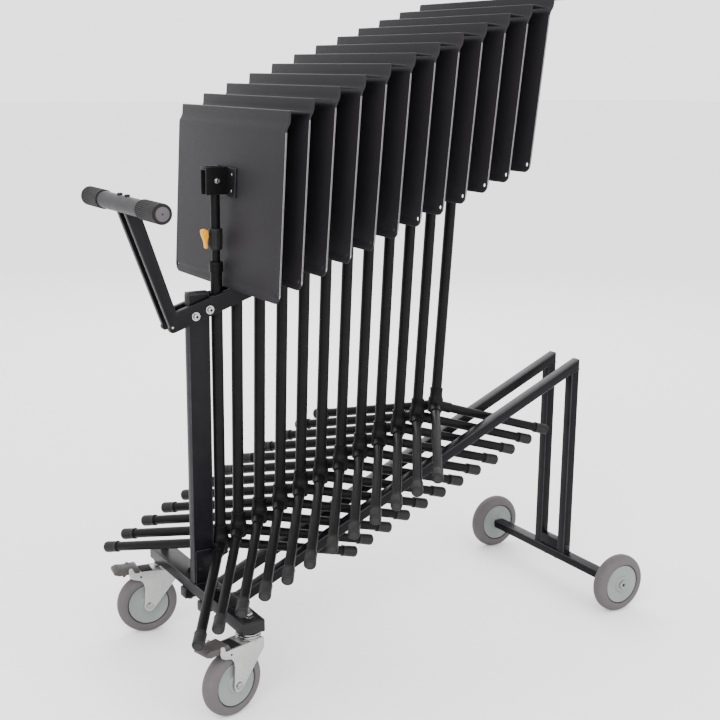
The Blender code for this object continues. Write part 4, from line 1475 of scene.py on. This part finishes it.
class TROLLEY_OT_desks(bpy.types.Operator):
    """Build the folded desk panels with their brackets and screws"""

    bl_idname = "trolley.desks"
    bl_label = "Desk Panels"

    def execute(self, context):
        looks = finishes()
        for number in range(1, STAND_COUNT + 1):
            if number <= 2:
                first = number == 1
                bottom = FIRST_DESK_BOTTOM_X if first else DESK_BOTTOM_X
                panel = self.panel(bottom)
                bracket = self.bracket(bottom, -0.0225 if first else -0.0105)
                bracket = bracket.mesh("desk_bracket", looks["bracket"])
                spots = self.screw_spots(bottom)
                screw = pan_screw(0.0027, 0.0014)
                screws = pieces_of(screw, "desk_screws", spots, looks["bright"])
            place = stand_place(number)
            name = "stand_%02d_" % number
            body = name + "desk"
            add_piece(name + "panel", moved_copy(panel, place), body, "desk_powder", body)
            add_piece(name + "desk_bracket", moved_copy(bracket, place), body, "desk_powder")
            add_piece(name + "desk_screws", moved_copy(screws, place), body, "zinc_steel")
        return {"FINISHED"}

    def desk_frame(self, bottom):
        """Panel coordinates (n, y, s) seen from the stand."""
        move = Matrix.Translation((bottom, 0, DESK_BOTTOM_Z))
        return move @ Matrix.Rotation(DESK_TILT, 4, "Y")

    def panel(self, bottom):
        """Folded sheet with a joggle, a ledge, rounded lower corners and two holes."""
        thick = DESK_THICKNESS
        step = DESK_JOGGLE
        tip = step + DESK_LEDGE
        under = DESK_HEIGHT - 0.0025
        outline = (
            (0, 0), (0, JOGGLE_START), (step, JOGGLE_END), (step, DESK_HEIGHT),
            (tip, DESK_HEIGHT), (tip, under), (step + thick, under),
            (step + thick, JOGGLE_END), (thick, JOGGLE_START), (thick, 0),
        )
        radii = (0.0, 0.004, 0.004, 0.003, 0.0, 0.0, 0.002, 0.004, 0.004, 0.0)
        half = DESK_WIDTH / 2
        desk = finishes()["desk"]
        place = self.desk_frame(bottom)
        sheet = Shape(place)
        sheet.prism(fillet(outline, radii, 4), -half, half)
        cutters = []
        for side, _ in SIDES:
            hole = Shape(place)
            spot = (0, side * (half - HOLE_INSET), HOLE_HEIGHT)
            profile = (
                (0, -CUTTER_REACH), (HOLE_RADIUS, -CUTTER_REACH),
                (HOLE_RADIUS, CUTTER_REACH), (0, CUTTER_REACH),
            )
            hole.lathe(profile, along((1, 0, 0), spot), 24)
            corner = Shape(place)
            corner.prism(*self.corner(side, half))
            cutters += [hole, corner]
        panel = helper(sheet, "panel", desk)
        helpers = [helper(cutter, "panel_cutter", desk) for cutter in cutters]
        for item in helpers:
            cut = panel.modifiers.new("cut", "BOOLEAN")
            cut.operation = "DIFFERENCE"
            cut.solver = "EXACT"
            cut.object = item
        bevel = panel.modifiers.new("edge", "BEVEL")
        bevel.width = 0.0011
        bevel.segments = 3
        bevel.limit_method = "ANGLE"
        bevel.angle_limit = math.radians(50)
        bpy.context.view_layer.update()
        graph = bpy.context.evaluated_depsgraph_get()
        mesh = bpy.data.meshes.new_from_object(panel.evaluated_get(graph))
        for item in (panel, *helpers):
            bpy.data.objects.remove(item, do_unlink=True)
        self.mark_highlight_edges(mesh, place.inverted(), half)
        finish_mesh(mesh, desk)
        return mesh

    def corner(self, side, half):
        """Outline and depth of what is cut away outside one rounded lower corner."""
        radius = CORNER_RADIUS
        edge = side * half
        out = edge + side * 0.01
        outline = [(out, -0.01), (out, radius)]
        steps = 8
        for step in range(steps + 1):
            angle = math.pi / 2 * step / steps
            y = edge - side * radius * (1 - math.cos(angle))
            s = radius * (1 - math.sin(angle))
            outline.append((y + side * 0.0002, s - 0.0002))
        outline.append((edge - side * radius, -0.01))
        quarter = Matrix.Rotation(math.radians(90), 4, "Z")
        return outline, -CUTTER_REACH, CUTTER_REACH, quarter

    def mark_highlight_edges(self, mesh, inverse, half):
        """Mark the side faces of the panel below its fold, which take a pale colour as a painted
        highlight along each side edge.
        """
        mark = mesh.attributes.get("rim") or mesh.attributes.new("rim", "FLOAT", "FACE")
        values = []
        for face in mesh.polygons:
            local = inverse @ face.center
            outward = inverse.to_3x3() @ face.normal
            at_side = abs(local.y) > half - 0.0010 and abs(outward.y) > 0.95
            values.append(1.0 if at_side and local.z < 0.290 else 0.0)
        mark.data.foreach_set("value", values)

    def bracket(self, bottom, front):
        """Fixing plate and the channel that carries the tilt pin."""
        place = self.desk_frame(bottom)
        shape = Shape()
        strip = ((-0.0040, 0.1660), (-0.0040, 0.2190), (-0.0001, 0.2190), (-0.0001, 0.1660))
        shape.prism(strip, -0.045, 0.045, place, edge=0.0007)
        lean = math.tan(DESK_TILT)
        low = bottom + 0.170 * lean - 0.0035
        high = bottom + 0.220 * lean - 0.0035
        cheek = ((front, 0.670), (low, 0.670), (high, 0.720), (front, 0.720))
        cheek = fillet(cheek, (0.003, 0.0, 0.0, 0.004), 4)
        for side, _ in SIDES:
            ends = sorted((side * 0.0096, side * 0.0115))
            shape.prism(cheek, *ends, edge=0.0005)
        if front < -0.02:
            low, high = (front, -0.0112, 0.7145), (front + 0.0020, 0.0112, 0.7200)
            shape.box(low, high, edge=0.0005)
        return shape

    def screw_spots(self, bottom):
        """Four screws through the fixing plate."""
        place = self.desk_frame(bottom)
        facing = place.to_3x3() @ Vector((-1, 0, 0))
        spots = []
        for y in (-0.030, 0.030):
            for s in (0.1780, 0.2070):
                spots.append((place @ Vector((-0.0040, y, s)), facing))
        return spots


class TROLLEY_OT_fasteners(bpy.types.Operator):
    """Build the trolley's bolts and weld beads"""

    bl_idname = "trolley.fasteners"
    bl_label = "Bolts and Welds"

    def execute(self, context):
        handle_top = HANDLE_Z + HANDLE_RADIUS
        arm_side = ARM_OUTER_Y
        self.place("arm_bolts", socket_bolt(0.0052, 0.0052, 0.0082), "bright", "zinc_steel", [
            ((x, side * arm_side, z), (0, side, 0)) for x, z in ARM_BOLTS for side, _ in SIDES
        ])
        # Painted shade: a thin dark hexagon set into each arm bolt's socket recess, standing in
        # for the shade inside the socket.
        socket = Shape()
        socket.hexagon(0.0027, 0.0, 0.0012, None, 0.0)
        arm_side = ARM_OUTER_Y + 0.0036
        self.place("arm_bolt_sockets", socket, "groove", "zinc_steel", [
            ((x, side * arm_side, z), (0, side, 0)) for x, z in ARM_BOLTS for side, _ in SIDES
        ])
        self.place("handle_bolts", socket_bolt(0.0050, 0.0036, 0.0), "dark_bolt", "handle_grey", [
            ((HANDLE_X, y, handle_top - 0.0004), (0, 0, 1)) for y in (-0.0175, 0.0175)
        ])
        self.place("arm_rivets", pan_screw(0.0024, 0.0010), "bright", "zinc_steel", [
            ((-0.0365, side * ARM_OUTER_Y, 0.6825), (0, side, 0)) for side, _ in SIDES
        ])
        under = WHEEL_RADIUS - AXLE_BAR_HALF
        deck = CROSSBAR[1][2]
        under_rail = CROSSBAR[0][2] - RAIL_DEPTH
        self.place("frame_bolts", hex_bolt(0.0062, 0.0042, 0.0082), "dark_bolt", "trolley_paint", [
            *(((AXLE_X, y, under), (0, 0, -1)) for y in (-0.018, 0.018)),
            *(((0.0235, y, deck), (0, 0, 1)) for y in (-0.060, 0.060)),
            *(((0.012, y, under_rail), (0, 0, -1)) for y in (-RAIL_Y, RAIL_Y)),
        ])
        self.place("cheek_bolts", socket_bolt(0.0042, 0.0026, 0.0), "dark_bolt", "trolley_paint", [
            ((x, side * CHEEK_OUTER_Y, 0.205), (0, side, 0))
            for x in (0.012, 0.034)
            for side, _ in SIDES
        ])
        welds = weld_mesh("weld_beads", self.weld_lines(), 0.0012, finishes()["weld"])
        welds.transform(LAYOUT)
        add_piece("weld_beads", welds, "trolley", "trolley_paint")
        return {"FINISHED"}

    def place(self, name, shape, finish, slot, spots):
        """Set one kind of fastener at its (position, facing) spots on the trolley."""
        mesh = pieces_of(shape, name, spots, finishes()[finish])
        mesh.transform(LAYOUT)
        add_piece(name, mesh, "trolley", slot)

    def weld_lines(self):
        """Seams where the tubes meet."""
        lines = []
        foot = CROSSBAR[1][2]
        for side, _ in SIDES:
            y = side * POST_WELD_Y
            lines.append(((0.001, y, foot), (0.042, y, foot)))
        lines.append(((-0.0002, -0.009, foot), (-0.0002, 0.009, foot)))
        front, back = UPRIGHT_X
        under_bar = CROSSBAR[0][2]
        for side, _ in SIDES:
            inner = side * (RAIL_Y - RAIL_WIDTH / 2)
            outer = side * (RAIL_Y + RAIL_WIDTH / 2)
            for y in (inner, outer):
                lines.append(((front, y, rail_bottom(front)), (back, y, rail_bottom(back))))
                lines.append(((front, y, UPRIGHT_FOOT), (back, y, UPRIGHT_FOOT)))
                lines.append(((0.005, y, under_bar), (0.043, y, under_bar)))
            for z in (rail_bottom(front), UPRIGHT_FOOT):
                lines.append(((front, inner, z), (front, outer, z)))
        return lines


class TROLLEY_OT_stage(bpy.types.Operator):
    """Build the pale floor, the soft light and the camera"""

    bl_idname = "trolley.stage"
    bl_label = "Studio"

    def execute(self, context):
        settings = context.scene.trolley_stage
        floor = bpy.data.meshes.new("floor")
        reach = 40.0
        corners = ((-reach, -reach, 0), (reach, -reach, 0), (reach, reach, 0), (-reach, reach, 0))
        floor.from_pydata(corners, [], [(0, 1, 2, 3)])
        floor.materials.append(stage_paper("floor_white", (0.92, 0.92, 0.92)))
        ground = bpy.data.objects.new("floor", floor)
        context.scene.collection.objects.link(ground)
        world = bpy.data.worlds.new("studio_white")
        world.use_nodes = True
        sky = world.node_tree.nodes["Background"]
        sky.inputs["Color"].default_value = (1, 1, 1, 1)
        sky.inputs["Strength"].default_value = settings.world_light
        context.scene.world = world
        self.light("key", (-2.6, -2.4, 2.6), 2.6, settings.key_light)
        self.light("front", (0.9, -3.6, 1.2), 2.2, settings.key_light * 0.45)
        self.light("back", (1.6, 2.8, 2.6), 2.4, settings.key_light * 0.5)
        self.camera(context, settings)
        return {"FINISHED"}

    def light(self, name, position, size, power):
        """One square softbox aimed at the trolley."""
        lamp = bpy.data.lights.new(name, "AREA")
        lamp.size = size
        lamp.energy = power
        holder = bpy.data.objects.new(name, lamp)
        aim = Vector((0, 0, 0.6)) - Vector(position)
        holder.location = position
        holder.rotation_euler = aim.to_track_quat("-Z", "Y").to_euler()
        bpy.context.scene.collection.objects.link(holder)

    def camera(self, context, settings):
        """Camera at the viewing angle, with a small roll."""
        azimuth, dip, roll = settings.azimuth, settings.dip, settings.roll
        heading = Vector((math.sin(azimuth), math.cos(azimuth), 0))
        ahead = heading * math.cos(dip) - Vector((0, 0, math.sin(dip)))
        level = Vector((math.cos(azimuth), -math.sin(azimuth), 0))
        above = level.cross(ahead)
        right = level * math.cos(roll) + above * math.sin(roll)
        up = above * math.cos(roll) - level * math.sin(roll)
        lens = bpy.data.cameras.new("camera")
        lens.lens = settings.lens
        lens.sensor_width = 36.0
        lens.clip_end = 200.0
        holder = bpy.data.objects.new("camera", lens)
        turn = Matrix((right, up, -ahead)).transposed().to_4x4()
        holder.matrix_world = Matrix.Translation(CAMERA_PLACE) @ turn
        context.scene.collection.objects.link(holder)
        context.scene.camera = holder


class TROLLEY_PT_panel(bpy.types.Panel):
    """Sidebar panel with the sizes, the colours and one button for each piece"""

    bl_idname = "TROLLEY_PT_panel"
    bl_label = "Stand Trolley"
    bl_space_type = "VIEW_3D"
    bl_region_type = "UI"
    bl_category = "Stand Trolley"

    def draw(self, context):
        layout = self.layout
        for owner in ("trolley_finishes", "trolley_sizes", "trolley_stage"):
            settings = getattr(context.scene, owner)
            box = layout.box()
            for key in settings.__annotations__:
                box.prop(settings, key)
        for operator in OPERATORS:
            layout.operator(operator.bl_idname)


OPERATORS = (
    TROLLEY_OT_stage,
    TROLLEY_OT_frame,
    TROLLEY_OT_post,
    TROLLEY_OT_handle,
    TROLLEY_OT_wheels,
    TROLLEY_OT_casters,
    TROLLEY_OT_bases,
    TROLLEY_OT_risers,
    TROLLEY_OT_desks,
    TROLLEY_OT_fasteners,
)
CLASSES = (TrolleyFinishes, TrolleySizes, StageSettings, *OPERATORS, TROLLEY_PT_panel)
SETTINGS = {
    "trolley_finishes": TrolleyFinishes,
    "trolley_sizes": TrolleySizes,
    "trolley_stage": StageSettings,
}


def register():
    """Make the classes and settings known."""
    for item in CLASSES:
        bpy.utils.register_class(item)
    for name, kind in SETTINGS.items():
        setattr(bpy.types.Scene, name, bpy.props.PointerProperty(type=kind))


def unregister():
    """Take the classes and settings away again."""
    for name in SETTINGS:
        delattr(bpy.types.Scene, name)
    for item in reversed(CLASSES):
        bpy.utils.unregister_class(item)


def main():
    """Build every piece."""
    register()
    for operator in OPERATORS:
        getattr(bpy.ops.trolley, operator.bl_idname.split(".")[1])()


if __name__ == "__main__":
    main()
